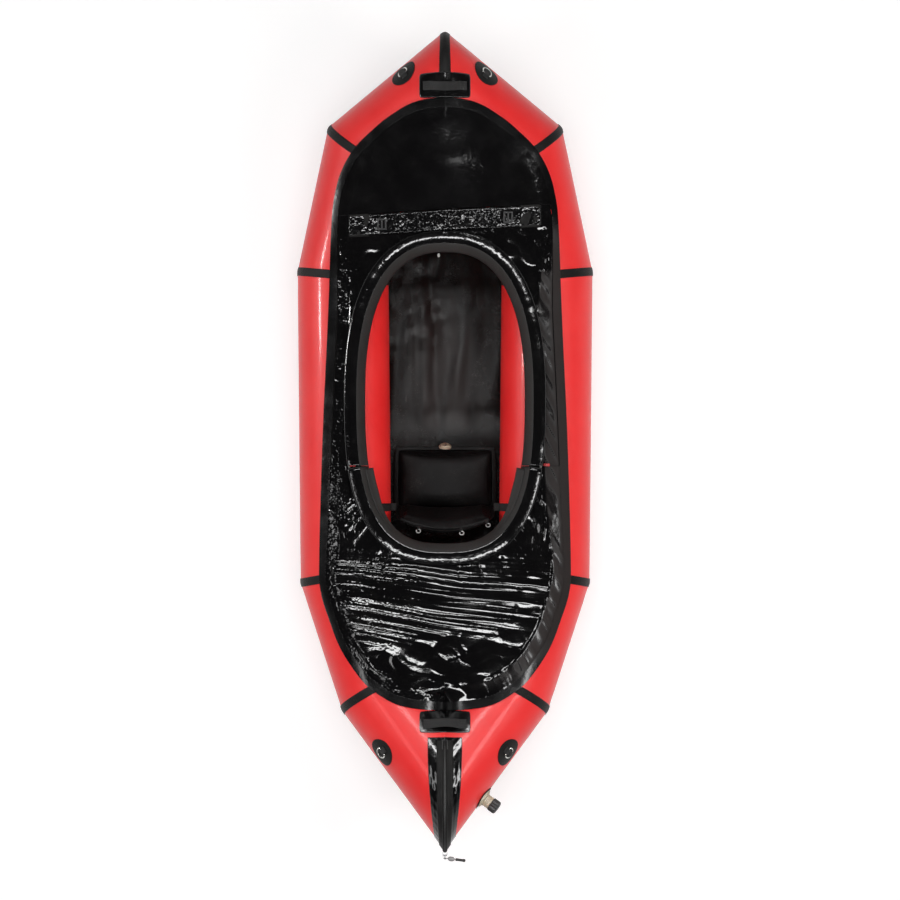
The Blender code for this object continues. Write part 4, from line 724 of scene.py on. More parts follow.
fold_point = Vector((0, fold_y, 0))
split_point = Vector((0, split_y, 0))
bow_deck = deck_piece("bow_deck_film", 6, 70, 0.014, bow_film,
                      [(fold_point + fold_out * slot_width / 2, fold_out)], 0.0)
fit_out(bow_deck, "hull", "gloss_black_film", "bow_deck")
deck_flap = deck_piece("deck_flap_film", 14, 90, 0.031, slack_film,
                       [(fold_point - fold_out * slot_width / 2, -fold_out),
                        (split_point + bow_way * slot_width / 2, bow_way)])
fit_out(deck_flap, "flap", "gloss_black_film", "deck_flap")
rear_deck = deck_piece("rear_deck_film", 15, 125, 0.014, slack_film,
                       [(split_point - bow_way * slot_width / 2, -bow_way)])
fit_out(rear_deck, "hull", "gloss_black_film", "rear_deck")

# Deck tape: matte strip welded over the deck's edge, its outer part on the tubes.
deck_tape_width, deck_tape_lift, deck_tape_step = 0.028, 0.0028, 0.0018
tape_shares = np.array((0, 0.012, 0.1, 0.2, 0.3, 0.45, 0.6, 0.8, 0.985, 1.0))
tape_points, _, tape_run = deck_rays(6, np.array((0.0, 1.0)))
tape_flat, tape_height = rows_in(tape_points, deck_tape_width * tape_shares[None] / tape_run[:, :1])
tape_height = np.maximum(tape_height, tube_top(tape_flat[..., 0], tape_flat[..., 1], deck_lift))
tape_height = tape_height + deck_tape_step
tape_height[:, 0] = tube_top(tape_flat[:, 0, 0], tape_flat[:, 0, 1], deck_tape_lift)
tape_film = film_finish("deck_tape_film", 0.20, 0.05, 0.30, 50)
tape_x, tape_y = tape_flat[..., 0], tape_flat[..., 1]
# Along the starboard side aft the tape takes the same painted reflection as the deck's margin.
tape_painted_reflection = (smooth_step(tape_x, 0.20, 0.30) * smooth_step(-tape_y, -0.75, -0.60)
              * (1 - smooth_step(-tape_y, 0.60, 0.72)))
deck_tape = laid_sheet("deck_tape_cloth", np.dstack((tape_flat, tape_height)), (0, 0, 1),
                       tape_film, tape_thickness, weld=True, marks={"margin": tape_painted_reflection})
fit_out(deck_tape, "hull", "matte_black_tape", "deck_tape")

# Cockpit coaming: a strip of coated cloth sewn up from the mouth. Its wall slants outward and
# is matte inside; its glossy lip turns over and ends in a hem round a glass-fibre rod. The
# front half lifts with the deck flap; where the halves meet, the rear one laps inward.
wall_run, wall_height, lip_run, lip_drop = 0.027, 0.032, 0.034, 0.003
hem_radius, hem_turn = 0.0059, math.radians(255)
coaming_thickness = 0.0010
coaming_joint = 0.001
foot_gap, wall_bulge_share, lip_arch = 0.0022, 0.10, 0.0020
lap_run, lap_length, lap_thickness = 0.013, 0.20, 0.0010
wall_cloth = finish("matte_coaming_cloth", (0.022, 0.021, 0.020), (0.033, 0.031, 0.030), 0.62,
                    bump=0.3, threads=650.0, dust=0.3, specular=0.2)
lip_film = film_finish("coaming_lip_film", 0.11, 0.03, 0.35, 60)


def coaming_profile(steps):
    """(run, height) pairs from the foot up the wall, over the lip and round the hem."""
    t = np.linspace(0, 1, steps + 1)
    bulge = wall_bulge_share * np.sin(math.pi * t)
    wall = np.stack((wall_run * t, foot_gap + (wall_height - foot_gap) * (t + bulge)), 1)
    s = t[1:-1]
    end_height = wall_height - lip_drop
    lip_height = wall_height + (end_height - wall_height) * s + lip_arch * np.sin(math.pi * s)
    lip = np.stack((wall_run + lip_run * s, lip_height), 1)
    turn = math.pi / 2 - hem_turn * t
    centre = (wall_run + lip_run, end_height - hem_radius)
    hem = np.stack((centre[0] + hem_radius * np.cos(turn), centre[1] + hem_radius * np.sin(turn)), 1)
    return np.concatenate((wall, lip, hem))


mouth_loop = paired_loop(egg_line(1600), 10)
mouth_tangent = np.roll(mouth_loop, -1, 0) - np.roll(mouth_loop, 1, 0)
mouth_outward = np.stack((-mouth_tangent[:, 1], mouth_tangent[:, 0]), 1)
mouth_outward /= np.linalg.norm(mouth_outward, axis=1, keepdims=True)


def coaming_half(name, front):
    """One half: stations of the mouth on its side of the joint, then trimmed square there."""
    count = len(mouth_loop)
    order = np.arange(-(count // 2), count // 2) if front else np.arange(count)
    past = mouth_loop[order, 1] - split_y
    order = order[past > -0.006] if front else order[past < 0.006]
    profile = coaming_profile(8)
    base, out = mouth_loop[order], mouth_outward[order]
    ripple = (noise_over(base, (16, 16), 4.0) * 0.0016 + noise_over(base, (60, 60), 2.0) * 0.0006)
    lip_share = np.clip((profile[:, 0] - wall_run * 0.5) / lip_run, 0, 1)
    flat = base[:, None] + out[:, None] * profile[None, :, :1]
    height = foot_height(base[:, 1])[:, None] + profile[None, :, 1] + ripple[:, None] * lip_share
    facing = (*(-out[len(order) // 2]), 0.6)
    made = laid_sheet(name, np.dstack((flat, height)), facing, wall_cloth)
    made.data.materials.append(lip_film)
    side = 1 if front else -1
    cut_away(made, [(Vector((0, split_y + side * coaming_joint, 0)), bow_way * side)])
    near = KDTree(count)
    for index, (x, y) in enumerate(mouth_loop):
        near.insert((x, y, 0), index)
    near.balance()
    for face in made.data.polygons:
        away = near.find((face.center.x, face.center.y, 0))[2]
        face.material_index = 1 if away > wall_run else 0
    thicken(made, coaming_thickness, -1.0)
    return made


fit_out(coaming_half("coaming_front_cloth", True), "flap", "gloss_black_film", "coaming_front")
fit_out(coaming_half("coaming_rear_cloth", False), "hull", "gloss_black_film", "coaming_rear")

# The rear wall's lap: a square-ended tongue of the same cloth inside the joint on each side.
for side, label in ((1, "starboard"), (-1, "port")):
    picked = [i for i in range(len(mouth_loop)) if mouth_loop[i, 0] * side > 0
              and split_y - lap_length < mouth_loop[i, 1] < split_y - 0.002]
    picked.sort(key=lambda i: -mouth_loop[i, 1])
    base, out = mouth_loop[picked], mouth_outward[picked]
    fade = smooth_step(base[:, 1], split_y - lap_length, split_y - lap_length * 0.35)
    across = np.linspace(0, 1, 7)
    inward = -lap_run * fade[:, None] * (1 - across) + 0.012 * across - 0.0006
    rise = 0.0036 + 0.016 * across ** 1.4
    flat = base[:, None] + out[:, None] * inward[..., None]
    height = foot_height(base[:, 1])[:, None] + np.broadcast_to(rise, inward.shape)
    lap = laid_sheet(f"coaming_lap_{label}", np.dstack((flat, height)), (0, 0, 1), wall_cloth,
                     lap_thickness)
    fit_out(lap, "hull", "gloss_black_film")

rod_finish = finish("glass_fibre", (0.060, 0.060, 0.050), (0.085, 0.084, 0.070), 0.40, threads=260.0,
                    bump=0.3, dust=0.2)
dress(rod_finish, "coaming_rod_front", "coaming_rod_rear")

# Pull tabs: a loop of red tape at each end of the flap's edge, to lift it by; and the small
# grey bead that closes the seam in the front of the coaming.
tab_width, tab_length, tab_thickness = 0.009, 0.018, 0.0012
tab_tape = finish("red_tab_tape", (0.55, 0.020, 0.022), (0.68, 0.035, 0.035), 0.5, threads=520.0,
                  bump=0.5, dust=0.2)
bead_plastic = finish("grey_bead", (0.36, 0.36, 0.35), (0.46, 0.46, 0.44), 0.4, dust=0.3)
for label, spot in (("starboard", (0.3235, -0.0585, 0.3085)), ("port", (-0.2930, -0.0585, 0.3260))):
    bm = bmesh.new()
    bmesh.ops.create_grid(bm, x_segments=12, y_segments=3, size=0.5)
    for vert in bm.verts:
        t = vert.co.x + 0.5
        lift = 0.0042 * math.sin(math.pi * t) + 0.0018
        vert.co = Vector(spot) + Vector(((t - 0.5) * tab_length, vert.co.y * tab_width, lift))
    fit_out(skin(f"pull_tab_{label}", bm, tab_tape, tab_thickness), "flap", "red_coated_fabric")
bm = bmesh.new()
bmesh.ops.create_uvsphere(bm, u_segments=20, v_segments=12, radius=0.0042)
bmesh.ops.scale(bm, vec=(1.0, 1.5, 0.8), verts=bm.verts)
bmesh.ops.translate(bm, vec=(-0.020, mouth_y + mouth_front - 0.010, 0.3235), verts=bm.verts)
fit_out(skin("coaming_bead", bm, bead_plastic), "flap", "grey_plastic")

# Floor: one sheet of heavy satin cloth under the tubes. Where it hangs free between them it
# keeps long soft folds from being rolled up; under the seat it is pressed flat.
floor_thickness = 0.0010
floor_stuff = finish("satin_floor_cloth", (0.0030, 0.0026, 0.0024), (0.0080, 0.0070, 0.0065), 0.24,
                     spread=0.06, bump=0.35, threads=800.0, dust=0.4, specular=0.22)
stations = sorted({(round(v.co.y, 4), round(v.co.z, 4), round(abs(v.co.x), 4))
                   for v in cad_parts["floor"].data.vertices})
under = np.array([min(pair, key=lambda p: p[1]) for pair in zip(stations[::2], stations[1::2])])
floor_y = np.unique(np.concatenate((np.linspace(under[0, 0], under[-1, 0], 150), under[:, 0])))
floor_half_width = np.interp(floor_y, under[:, 0], under[:, 2])
floor_low = np.interp(floor_y, under[:, 0], under[:, 1])
spread = np.linspace(-1, 1, 57)
floor_flat = np.dstack((floor_half_width[:, None] * spread, np.repeat(floor_y[:, None], 57, 1)))
x, y = floor_flat[..., 0], floor_flat[..., 1]
free = (smooth_step(floor_half_width[:, None] - np.abs(x), 0.045, 0.11)
        * (1 - smooth_step(y, 0.62, 0.80)) * smooth_step(y, -0.78, -0.60))
seat_zone = smooth_step(y, -0.32, -0.27) * (1 - smooth_step(y, 0.015, 0.14))
sway = np.stack((noise_over(floor_flat, (4, 4), 1.1), noise_over(floor_flat, (4, 4), 5.5)), -1)
warped = floor_flat + sway * 0.02
upper_left = smooth_step(y, 0.25, 0.40) * (1 - smooth_step(x, -0.06, 0.06))
folds = (creases(warped, (11, 1.3), 2.0) * 0.0150 + creases(warped, (24, 2.4), 6.0) * 0.0060
         + creases(warped, (16, 18), 3.3, 1.0, 3.0) * 0.0070 * upper_left + 0.0015)
floor_rise = floor_low[:, None] + np.maximum(folds, 0) * free * (1 - seat_zone)
# Where the floor is painted paler: a painted pool of light, darker along its creases as painted shade.
pale = ((1 - smooth_step(np.abs(x), 0.05, 0.15)) * smooth_step(y, 0.02, 0.10)
        * (1 - smooth_step(y, 0.30, 0.60)) * (1 - 0.8 * creases(warped, (15, 2.0), 4.7, 1.0, 4.0)))
floor_sheet = laid_sheet("floor_cloth", np.dstack((floor_flat, floor_rise)), (0, 0, 1), floor_stuff,
                         floor_thickness, weld=True, marks={"pale": pale})
# It is painted paler along the middle ahead of the seat: a painted pool of light and reflection, with
# painted shade along the creases in it.
floor_tree = floor_stuff.node_tree
floor_shader = floor_tree.nodes["Principled BSDF"]
floor_tone = floor_shader.inputs["Base Color"].links[0].from_node
painted_floor_light = put(floor_tree, "Attribute", attribute_name="pale")
paler = put(floor_tree, "Mix", [(7, (0.026, 0.0235, 0.0225, 1))], data_type="RGBA")
join(floor_tree, (painted_floor_light, "Fac", paler, 0), (floor_tone, 2, paler, 6),
     (paler, 2, floor_shader, "Base Color"))
fit_out(floor_sheet, "hull", "satin_black_floor", "floor")

# Stow band: a strap of the deck's own film sewn over the flap just behind its fold, hemmed
# along both edges, with a matte welded patch at each end and a ladder lock near each patch.
band_width, band_centre, band_half = 0.064, -0.035, 0.305
band_lift, band_thickness, band_crease, band_hem = 0.0009, 0.0007, 0.0030, 0.0010
patch_length, patch_overlap, patch_step, patch_inset = 0.062, 0.004, 0.0021, 0.002
end_crease, end_thickness = 0.0002, 0.0006
band_film = film_finish("band_film", 0.12, 0.03, 1.0, 75, depth=0.0020)
flap_top = BVHTree.FromPolygons([v.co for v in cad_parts["deck_flap"].data.vertices],
                                [p.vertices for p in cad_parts["deck_flap"].data.polygons])


def over_flap(x, y):
    """Height of the flap's drawn-out surface, or of its nearest edge."""
    hit = flap_top.ray_cast(Vector((x, y, 1)), Vector((0, 0, -1)))[0]
    return hit.z if hit else flap_top.find_nearest(Vector((x, y, 0.34)))[0].z


def band_strip(name, x_from, x_to, half_width, lift, relief, material, thickness, cells):
    """A strip that runs across the flap along its fold, crinkled by the relief, hemmed at both edges."""
    columns = np.linspace(x_from, x_to, cells)
    across = np.linspace(-1, 1, 15)
    grid = np.zeros((cells, 15, 3))
    for i, x in enumerate(columns):
        for j, v in enumerate(across):
            y = fold_y + fold_slope * x + band_centre + v * half_width
            edge = 1 - abs(v) ** 6
            here = np.array([[x, y]])
            wave = relief * edge * (creases(here, (38, 20), 5.0)[0] + 0.6 * creases(here, (90, 60), 2.0)[0])
            hem = band_hem if abs(v) > 0.84 else 0.0
            grid[i, j] = (x, y, over_flap(x, y) + lift + wave + hem)
    return laid_sheet(name, grid, (0, 0, 1), material, thickness)


band = band_strip("stow_band_film", -band_half, band_half, band_width / 2, band_lift, band_crease,
                  band_film, band_thickness, 130)
fit_out(band, "flap", "black_webbing", "stow_band")
patch_reach = band_half - patch_inset
for side, label in ((1, "starboard"), (-1, "port")):
    ends = sorted((side * patch_reach, side * (patch_reach - patch_length)))
    patch = band_strip(f"stow_band_patch_{label}", *ends, band_width / 2 + patch_overlap,
                       band_lift + patch_step, end_crease, tape_cloth, end_thickness, 16)
    fit_out(patch, "flap", "matte_black_tape")

buckle_plastic = finish("black_buckle_plastic", (0.010, 0.010, 0.011), (0.020, 0.020, 0.021), 0.34,
                        bump=0.2, threads=420.0, dust=0.4)
dress(buckle_plastic, "stow_buckle_starboard", "stow_buckle_port")

# Grab handles: a matte patch welded over the ridge at bow and stern, and on it a 28 mm
# webbing strap that stands off in the middle so that a hand can get under it.
handle_half, patch_lift, patch_thickness = 0.080, 0.0011, 0.0008
strap_half, strap_free, strap_width, strap_thickness = 0.068, 0.046, 0.028, 0.0018
strap_rise, strap_gap, strap_bow, handle_gap, corner_cut = 0.022, 0.0009, 0.0005, 0.007, 0.05
stitch_lift, stitch_step, stitch_radius = 0.0006, 0.004, 0.00055
webbing_finish = finish("black_webbing", (0.012, 0.012, 0.012), (0.022, 0.021, 0.021), 0.66,
                        bump=0.8, threads=330.0, dust=0.7, grain=0.0008, specular=0.35)
patch_film = film_finish("patch_film", 0.16, 0.05, 0.30, 60)
thread = finish("black_thread", (0.020, 0.020, 0.021), (0.035, 0.035, 0.036), 0.5, threads=900.0,
                bump=0.5, dust=0.3)


def handle(label, front, rear, centre):
    """A patch between two places along the boat, and the strap's middle over it."""
    across = np.linspace(-1, 1, 49)
    ahead = np.linspace(0, 1, 21)
    grid = np.zeros((49, 21, 3))
    x = across[:, None] * handle_half * (1 - corner_cut * np.abs(2 * ahead[None] - 1) ** 8)
    lengthwise = (ahead[None] - 0.5) * (1 - corner_cut * np.abs(across[:, None]) ** 8)
    y = rear + (front - rear) * (0.5 + lengthwise)
    y = np.broadcast_to(y, x.shape)
    grid[..., 0], grid[..., 1] = x, y
    grid[..., 2] = tube_top(x, y, patch_lift)
    grid[..., 2] += 0.0007 * creases(grid[..., :2], (60, 45), 3.3) * (1 - across[:, None] ** 4)
    patch = laid_sheet(f"{label}_handle_patch_film", grid, (0, 0, 1), patch_film, patch_thickness)
    fit_out(patch, "hull", "matte_black_tape", f"{label}_handle_patch")
    base = patch_lift + patch_thickness + strap_gap
    low, high = (float(tube_top(np.array([0.0]), np.array([centre + s * strap_width / 2]), base)[0])
                 for s in (-1, 1))
    rise = Vector((0, low - high, strap_width)).normalized()
    across = np.linspace(-1, 1, 61) * strap_half
    wide = np.linspace(-0.5, 0.5, 9)
    x, y = np.broadcast_arrays(across[:, None], centre + wide[None] * strap_width)
    height = tube_top(x, y, base)
    foot = tube_top(np.full_like(y, strap_free), y, base)
    ridge = tube_top(np.zeros_like(y), y, base)
    stand = (ridge - foot) * rise.z + strap_rise
    arch = np.maximum(0, 1 - (x / strap_free) ** 2)
    loose = np.abs(x) < strap_free
    edge = strap_bow * (1 - np.abs(2 * wide[None]) ** 4)
    grid = np.dstack((x, np.where(loose, y + rise.y * stand * arch, y),
                      np.where(loose, foot + rise.z * stand * arch, height) + edge))
    strap = laid_sheet(f"{label}_handle_webbing", grid, (0, 0, 1), webbing_finish, strap_thickness)
    fit_out(strap, "hull", "black_webbing", f"{label}_handle_strap")
    stitches = bmesh.new()
    top = base + strap_thickness + stitch_lift
    for side in (-1, 1):
        for row in (-0.40, -0.13, 0.13, 0.40):
            for step in range(5):
                sx = side * (strap_free + 0.003 + stitch_step * step)
                sy = centre + row * strap_width
                sz = float(tube_top(np.array([sx]), np.array([sy]), top)[0])
                bead = bmesh.ops.create_icosphere(stitches, subdivisions=1, radius=stitch_radius)["verts"]
                bmesh.ops.scale(stitches, vec=(2.6, 1, 0.8), verts=bead)
                bmesh.ops.translate(stitches, vec=(sx, sy, sz), verts=bead)
    fit_out(skin(f"{label}_handle_stitches", stitches, thread), "hull", "black_webbing")


bow_rear = deck_edge[0][1] * bow_reach + handle_gap
stern_front = deck_edge[-1][1] * stern_reach - handle_gap
handle("bow", bow_rear + 0.071, bow_rear - 0.0068, bow_rear + 0.031)
handle("stern", stern_front + 0.0068, stern_front - 0.058, stern_front - 0.031)

# Lashing points: a cloth disc on each end tube with a sewn webbing tunnel, and in the tunnel
# a bright metal D ring to tie gear to.
disc_radius, disc_lift, disc_thickness = 0.046, 0.0009, 0.0008
tunnel_width, tunnel_length, tunnel_bow, tunnel_thickness = 0.020, 0.030, 0.0038, 0.0011
ring_drop, ring_share, lashing_angle = 0.01023, 0.36, math.radians(51)


def tube_spots(panel, corner, along, angle, flat, lift):
    """Wrap flat points on a tube: the first runs along it, the second goes outboard."""
    turn = angle + flat[..., 1] / (tube_radius + lift)
    out = (np.cos(turn)[..., None] * np.array(tops[panel])
           + np.sin(turn)[..., None] * np.array(sides[panel]))
    return (np.array(ring[corner]) + (along + flat[..., 0])[..., None] * np.array(ways[panel])
            + out * (tube_radius + np.asarray(lift))[..., None])


def disc_on(name, panel, corner, along, angle, radius, lift, material, thickness):
    """A round patch: rings of points about its middle, wrapped on the tube."""
    steps = np.concatenate((np.linspace(0.001, 0.93, 9), [0.965, 1.0])) * radius
    spin = np.linspace(0, 2 * math.pi, 65)
    flat = np.dstack((steps[:, None] * np.cos(spin), steps[:, None] * np.sin(spin)))
    stitch = np.where((steps > 0.86 * radius) & (steps < 0.95 * radius), -0.0002, 0.0)
    points = tube_spots(panel, corner, along, angle, flat, lift + stitch[:, None] + 0 * spin)
    made = laid_sheet(name, points, radial(panel, angle), material, 0.0, weld=True)
    bm = bmesh.new()
    bm.from_mesh(made.data)
    bmesh.ops.remove_doubles(bm, verts=bm.verts, dist=0.0003)
    bmesh.ops.holes_fill(bm, edges=[e for e in bm.edges if e.is_boundary
                                    and e.calc_length() < 0.001], sides=0)
    bm.to_mesh(made.data)
    bm.free()
    thicken(made, thickness, 1.0)
    return made


def radial(panel, angle):
    """The way out of a tube at an angle from its top."""
    return tops[panel] * math.cos(angle) + sides[panel] * math.sin(angle)


ring_metal = finish("bright_ring_metal", (0.52, 0.52, 0.50), (0.66, 0.65, 0.62), 0.26, metallic=1.0,
                    threads=300.0, bump=0.1, dust=0.25)
for end, panel, corner, along in (("bow", BOW, BOW, 0.051), ("stern", REAR_SHOULDER, STERN, -0.159)):
    for side in ("starboard", "port"):
        if side == "port":
            panel, corner, along = panels - 1 - panel, -corner % panels, -along
        label = f"{end}_{side}"
        disc = disc_on(f"{label}_lashing_disc", panel, corner, along, lashing_angle, disc_radius,
                       disc_lift, tape_cloth, disc_thickness)
        fit_out(disc, "hull", "matte_black_tape", f"{label}_lashing_patch")
        run = np.linspace(-1, 1, 29)
        hump = np.where(np.abs(run) < ring_share, np.sqrt(np.maximum(0, 1 - (run / ring_share) ** 2)), 0)
        wide = np.linspace(-1, 1, 7)
        flat = np.dstack(np.broadcast_arrays(wide[None] * tunnel_width / 2,
                                             run[:, None] * tunnel_length / 2 - ring_drop))
        lift = disc_lift + disc_thickness + 0.0002 + tunnel_bow * hump[:, None] + 0 * wide[None]
        spots = tube_spots(panel, corner, along, lashing_angle, flat, lift)
        tunnel = laid_sheet(f"{label}_tunnel", spots, radial(panel, lashing_angle), webbing_finish,
                            tunnel_thickness)
        fit_out(tunnel, "hull", "black_webbing")
        dress(ring_metal, f"{label}_lashing_ring")

# Inflation valve on the starboard stern tube: a welded cloth patch, a pale moulded flange, a
# turning body with two grooves, and a knobbly black cap.
valve_along, valve_angle = 0.006, math.radians(80)
valve_patch_radius, valve_patch_lift, valve_patch_thickness = 0.040, 0.0011, 0.0008
valve_disc = disc_on("valve_disc", REAR_SHOULDER, STERN, -valve_along, valve_angle,
                     valve_patch_radius, valve_patch_lift, tape_cloth, valve_patch_thickness)
fit_out(valve_disc, "hull", "matte_black_tape", "valve_patch")
valve_axis = radial(REAR_SHOULDER, valve_angle)
valve_root = Vector(tube_spots(REAR_SHOULDER, STERN, -valve_along, valve_angle,
                               np.zeros((1, 2)), np.zeros(1))[0])


def stood(root, axis):
    """The place of a round piece that stands on its root along its axis."""
    return Matrix.Translation(root) @ axis.to_track_quat("Z", "Y").to_matrix().to_4x4()


def turned(name, profile, root, axis, material, steps=64, sharp=30):
    """A round piece: its half section spun about its axis, then set in place."""
    bm = bmesh.new()
    line = [bm.verts.new((radius, 0, height)) for radius, height in profile]
    edges = [bm.edges.new(pair) for pair in zip(line, line[1:])]
    bmesh.ops.spin(bm, geom=line + edges, cent=(0, 0, 0), axis=(0, 0, 1), angle=2 * math.pi,
                   steps=steps, use_merge=True)
    bmesh.ops.remove_doubles(bm, verts=bm.verts, dist=1e-6)
    bmesh.ops.recalc_face_normals(bm, faces=bm.faces)
    bmesh.ops.transform(bm, matrix=stood(root, axis), verts=bm.verts)
    return skin(name, bm, material, sharp=math.radians(sharp))


pale_plastic = finish("pale_valve_plastic", (0.52, 0.44, 0.31), (0.62, 0.54, 0.40), 0.38,
                      threads=380.0, bump=0.12, dust=0.6, dust_colour=(0.20, 0.17, 0.13))
cap_plastic = finish("black_cap_plastic", (0.012, 0.012, 0.012), (0.024, 0.023, 0.023), 0.40,
                     threads=380.0, bump=0.25, dust=0.6)
body_low, body_top, cap_gap, cap_radius = 0.0086, 0.0286, 0.0004, 0.0222
flange = turned("valve_flange_moulding",
                [(0.0172, -0.0012), (0.0172, 0.0070), (0.0180, 0.0082), (0.0235, 0.0082), (0.0240, 0.0076),
                 (0.0262, 0.0070), (0.0286, 0.0062), (0.0298, 0.0050), (0.0300, 0.0030), (0.0300, -0.0040)],
                valve_root, valve_axis, pale_plastic)
fit_out(flange, "hull", "beige_plastic", "valve_flange")
body = turned("valve_body_moulding",
              [(0, body_low - 0.005), (0.0164, body_low - 0.005), (0.0164, body_low), (0.0196, body_low),
               (0.0205, body_low + 0.0010), (0.0205, 0.0130), (0.0192, 0.0138), (0.0192, 0.0152),
               (0.0205, 0.0160), (0.0205, 0.0200), (0.0190, 0.0208), (0.0190, 0.0222), (0.0205, 0.0230),
               (0.0205, body_top - 0.0014), (0.0192, body_top), (0, body_top)],
              valve_root, valve_axis, pale_plastic)
fit_out(body, "valve_turner", "beige_plastic", "valve_body")
cap_low = body_top + cap_gap
cap = turned("valve_cap_moulding",
             [(0, cap_low), (0.0190, cap_low), (0.0216, cap_low + 0.0016), (cap_radius, cap_low + 0.0040),
              (cap_radius, cap_low + 0.012), (cap_radius, cap_low + 0.0200), (0.0216, cap_low + 0.0235),
              (0.0196, cap_low + 0.0262), (0.0160, cap_low + 0.0278), (0.0100, cap_low + 0.0280),
              (0.0090, cap_low + 0.0272), (0, cap_low + 0.0270)],
             Vector(), Vector((0, 0, 1)), cap_plastic, steps=144, sharp=40)
cap_place = stood(valve_root, valve_axis)
for vert in cap.data.vertices:
    groove = (0.5 - 0.5 * math.cos(9 * math.atan2(vert.co.y, vert.co.x))) ** 1.6
    out = min(1.0, math.hypot(vert.co.x, vert.co.y) / cap_radius)
    shrink = 1 - 0.14 * groove * smooth_step(out, 0.6, 1.0)
    vert.co = cap_place @ Vector((vert.co.x * shrink, vert.co.y * shrink, vert.co.z))
fit_out(cap, "valve_lid", "black_plastic", "valve_cap")

# Zip in the stern tube: a glossy backing strip over the ridge, on it a matte woven tape with
# the coil as a raised, slit ridge, a moulded dock at its inner end, and the slider at the tip.
zip_lift, zip_thickness = 0.0014, 0.0006
zip_half, zip_tape_lift, zip_tape_thickness = 0.054, 0.0035, 0.0009
zip_first_y, zip_last = -0.9148, math.radians(97)
zip_margin, zip_spare = math.radians(3), 0.30
zip_end_step = 0.008
tooth_pitch, tooth_size = 0.0030, (0.0056, 0.0018, 0.0016)
dock_half, dock_leg, dock_wire, dock_lift = 0.0085, 0.016, 0.0016, 0.0012
chain_rise, tooth_shift = 0.0027, 0.0007
zip_film = film_finish("zip_film", 0.11, 0.03, 0.20, 45)
slider_metal = finish("grey_slider_metal", (0.30, 0.30, 0.31), (0.42, 0.42, 0.43), 0.38, metallic=0.6,
                      threads=300.0, dust=0.4)
grip_rubber = finish("grey_grip_rubber", (0.26, 0.25, 0.25), (0.36, 0.35, 0.35), 0.55, threads=500.0,
                     dust=0.5)
toggle_rubber = finish("black_toggle_rubber", (0.012, 0.012, 0.012), (0.022, 0.022, 0.022), 0.5,
                       threads=500.0, dust=0.5)
seam_sides = np.concatenate((-from_seam[:0:-1], from_seam))


def over_seam(angles, distances, lift):
    """Points over the stern joint: angles round the tubes, distances square to the joint."""
    columns = np.interp(distances, seam_sides, np.arange(1 - len(from_seam), len(from_seam)))
    columns = columns + seam_column[STERN]
    rows = (np.asarray(angles) + math.pi) / (2 * math.pi) * rows_round
    i, j = np.floor(columns).astype(int), np.floor(rows).astype(int)
    past_i, past_j = (columns - i)[:, None, None], (rows - j)[None, :, None]

    def read(grid):
        near = grid[np.ix_(i, j)] * (1 - past_j) + grid[np.ix_(i, j + 1)] * past_j
        far = grid[np.ix_(i + 1, j)] * (1 - past_j) + grid[np.ix_(i + 1, j + 1)] * past_j
        return near * (1 - past_i) + far * past_i

    return read(hull_grid) + read(hull_normals) * np.asarray(lift)


def swept(bm, points, radius, sides_round=8, closed=False):
    """A round rod along points, with capped ends unless it runs back into itself."""
    points = [Vector(p) for p in points]
    count = len(points)
    rings, hint = [], Vector((0.3, 0.2, 1))
    for k, point in enumerate(points):
        ahead = points[(k + 1) % count] if closed or k + 1 < count else point
        behind = points[k - 1] if closed or k else point
        way = (ahead - behind).normalized()
        across = (hint - way * hint.dot(way)).normalized()
        hint = across
        over = way.cross(across)
        spin = (2 * math.pi * s / sides_round for s in range(sides_round))
        rings.append([bm.verts.new(point + radius * (across * math.cos(t) + over * math.sin(t)))
                      for t in spin])
    pairs = list(zip(rings, rings[1:])) + ([(rings[-1], rings[0])] if closed else [])
    for one, two in pairs:
        for s in range(sides_round):
            t = (s + 1) % sides_round
            bm.faces.new((one[s], one[t], two[t], two[s]))
    if not closed:
        bm.faces.new(rings[0][::-1])
        bm.faces.new(rings[-1])


seam_line = hull_grid[seam_column[STERN], :, 1]
crest = np.arange(rows_round // 4, rows_round * 3 // 4 + 4)
zip_first = float(np.interp(-zip_first_y, -seam_line[crest], turns[crest]))
backing_across = np.linspace(-zip_half, zip_half, 37)
backing_round = np.linspace(zip_first - zip_spare, zip_last, 120)
backing_wave = (0.0005 * np.sin(backing_across / 0.0052)[:, None] ** 2
                * (1 + 0.5 * np.sin(backing_round * 21)[None]))
backing_spots = over_seam(backing_round, backing_across, (zip_lift + backing_wave)[..., None])
backing = laid_sheet("zip_backing_film", backing_spots, (0, -0.5, 1), zip_film, zip_thickness)
cut_away(backing, [(Vector((0, zip_first_y, 0)), -bow_way)])
fit_out(backing, "hull", "gloss_black_film", "zip_backing")

half_section = [(0.0, 0.0024), (0.0005, 0.0025), (0.0010, 0.0034), (0.0030, 0.0036), (0.0042, 0.0026),
                (0.0050, 0.0010), (0.0066, 0.0002), (0.0095, 0.0001), (0.0100, 0.0006), (0.0108, 0.0006),
                (0.0113, 0.0001), (0.0150, 0.0001), (0.0155, 0.0006), (0.0163, 0.0006), (0.0168, 0.0001),
                (0.0205, 0.0001), (0.0210, 0.0005), (0.0218, 0.0005), (0.0223, 0.0), (0.0255, 0.0)]
section = [(-a, b) for a, b in half_section[:0:-1]] + half_section
tape_round = np.linspace(zip_first - zip_spare / 2, zip_last - zip_margin, 160)
tape_lifts = zip_tape_lift + np.array([b for _, b in section])[:, None, None]
zip_spots = over_seam(tape_round, np.array([a for a, _ in section]), tape_lifts)
zip_strip = laid_sheet("zip_tape_cloth", zip_spots, (0, -0.5, 1), tape_cloth, zip_tape_thickness)
cut_away(zip_strip, [(Vector((0, zip_first_y - zip_end_step, 0)), -bow_way)])
fit_out(zip_strip, "hull", "matte_black_tape", "zip_tape")

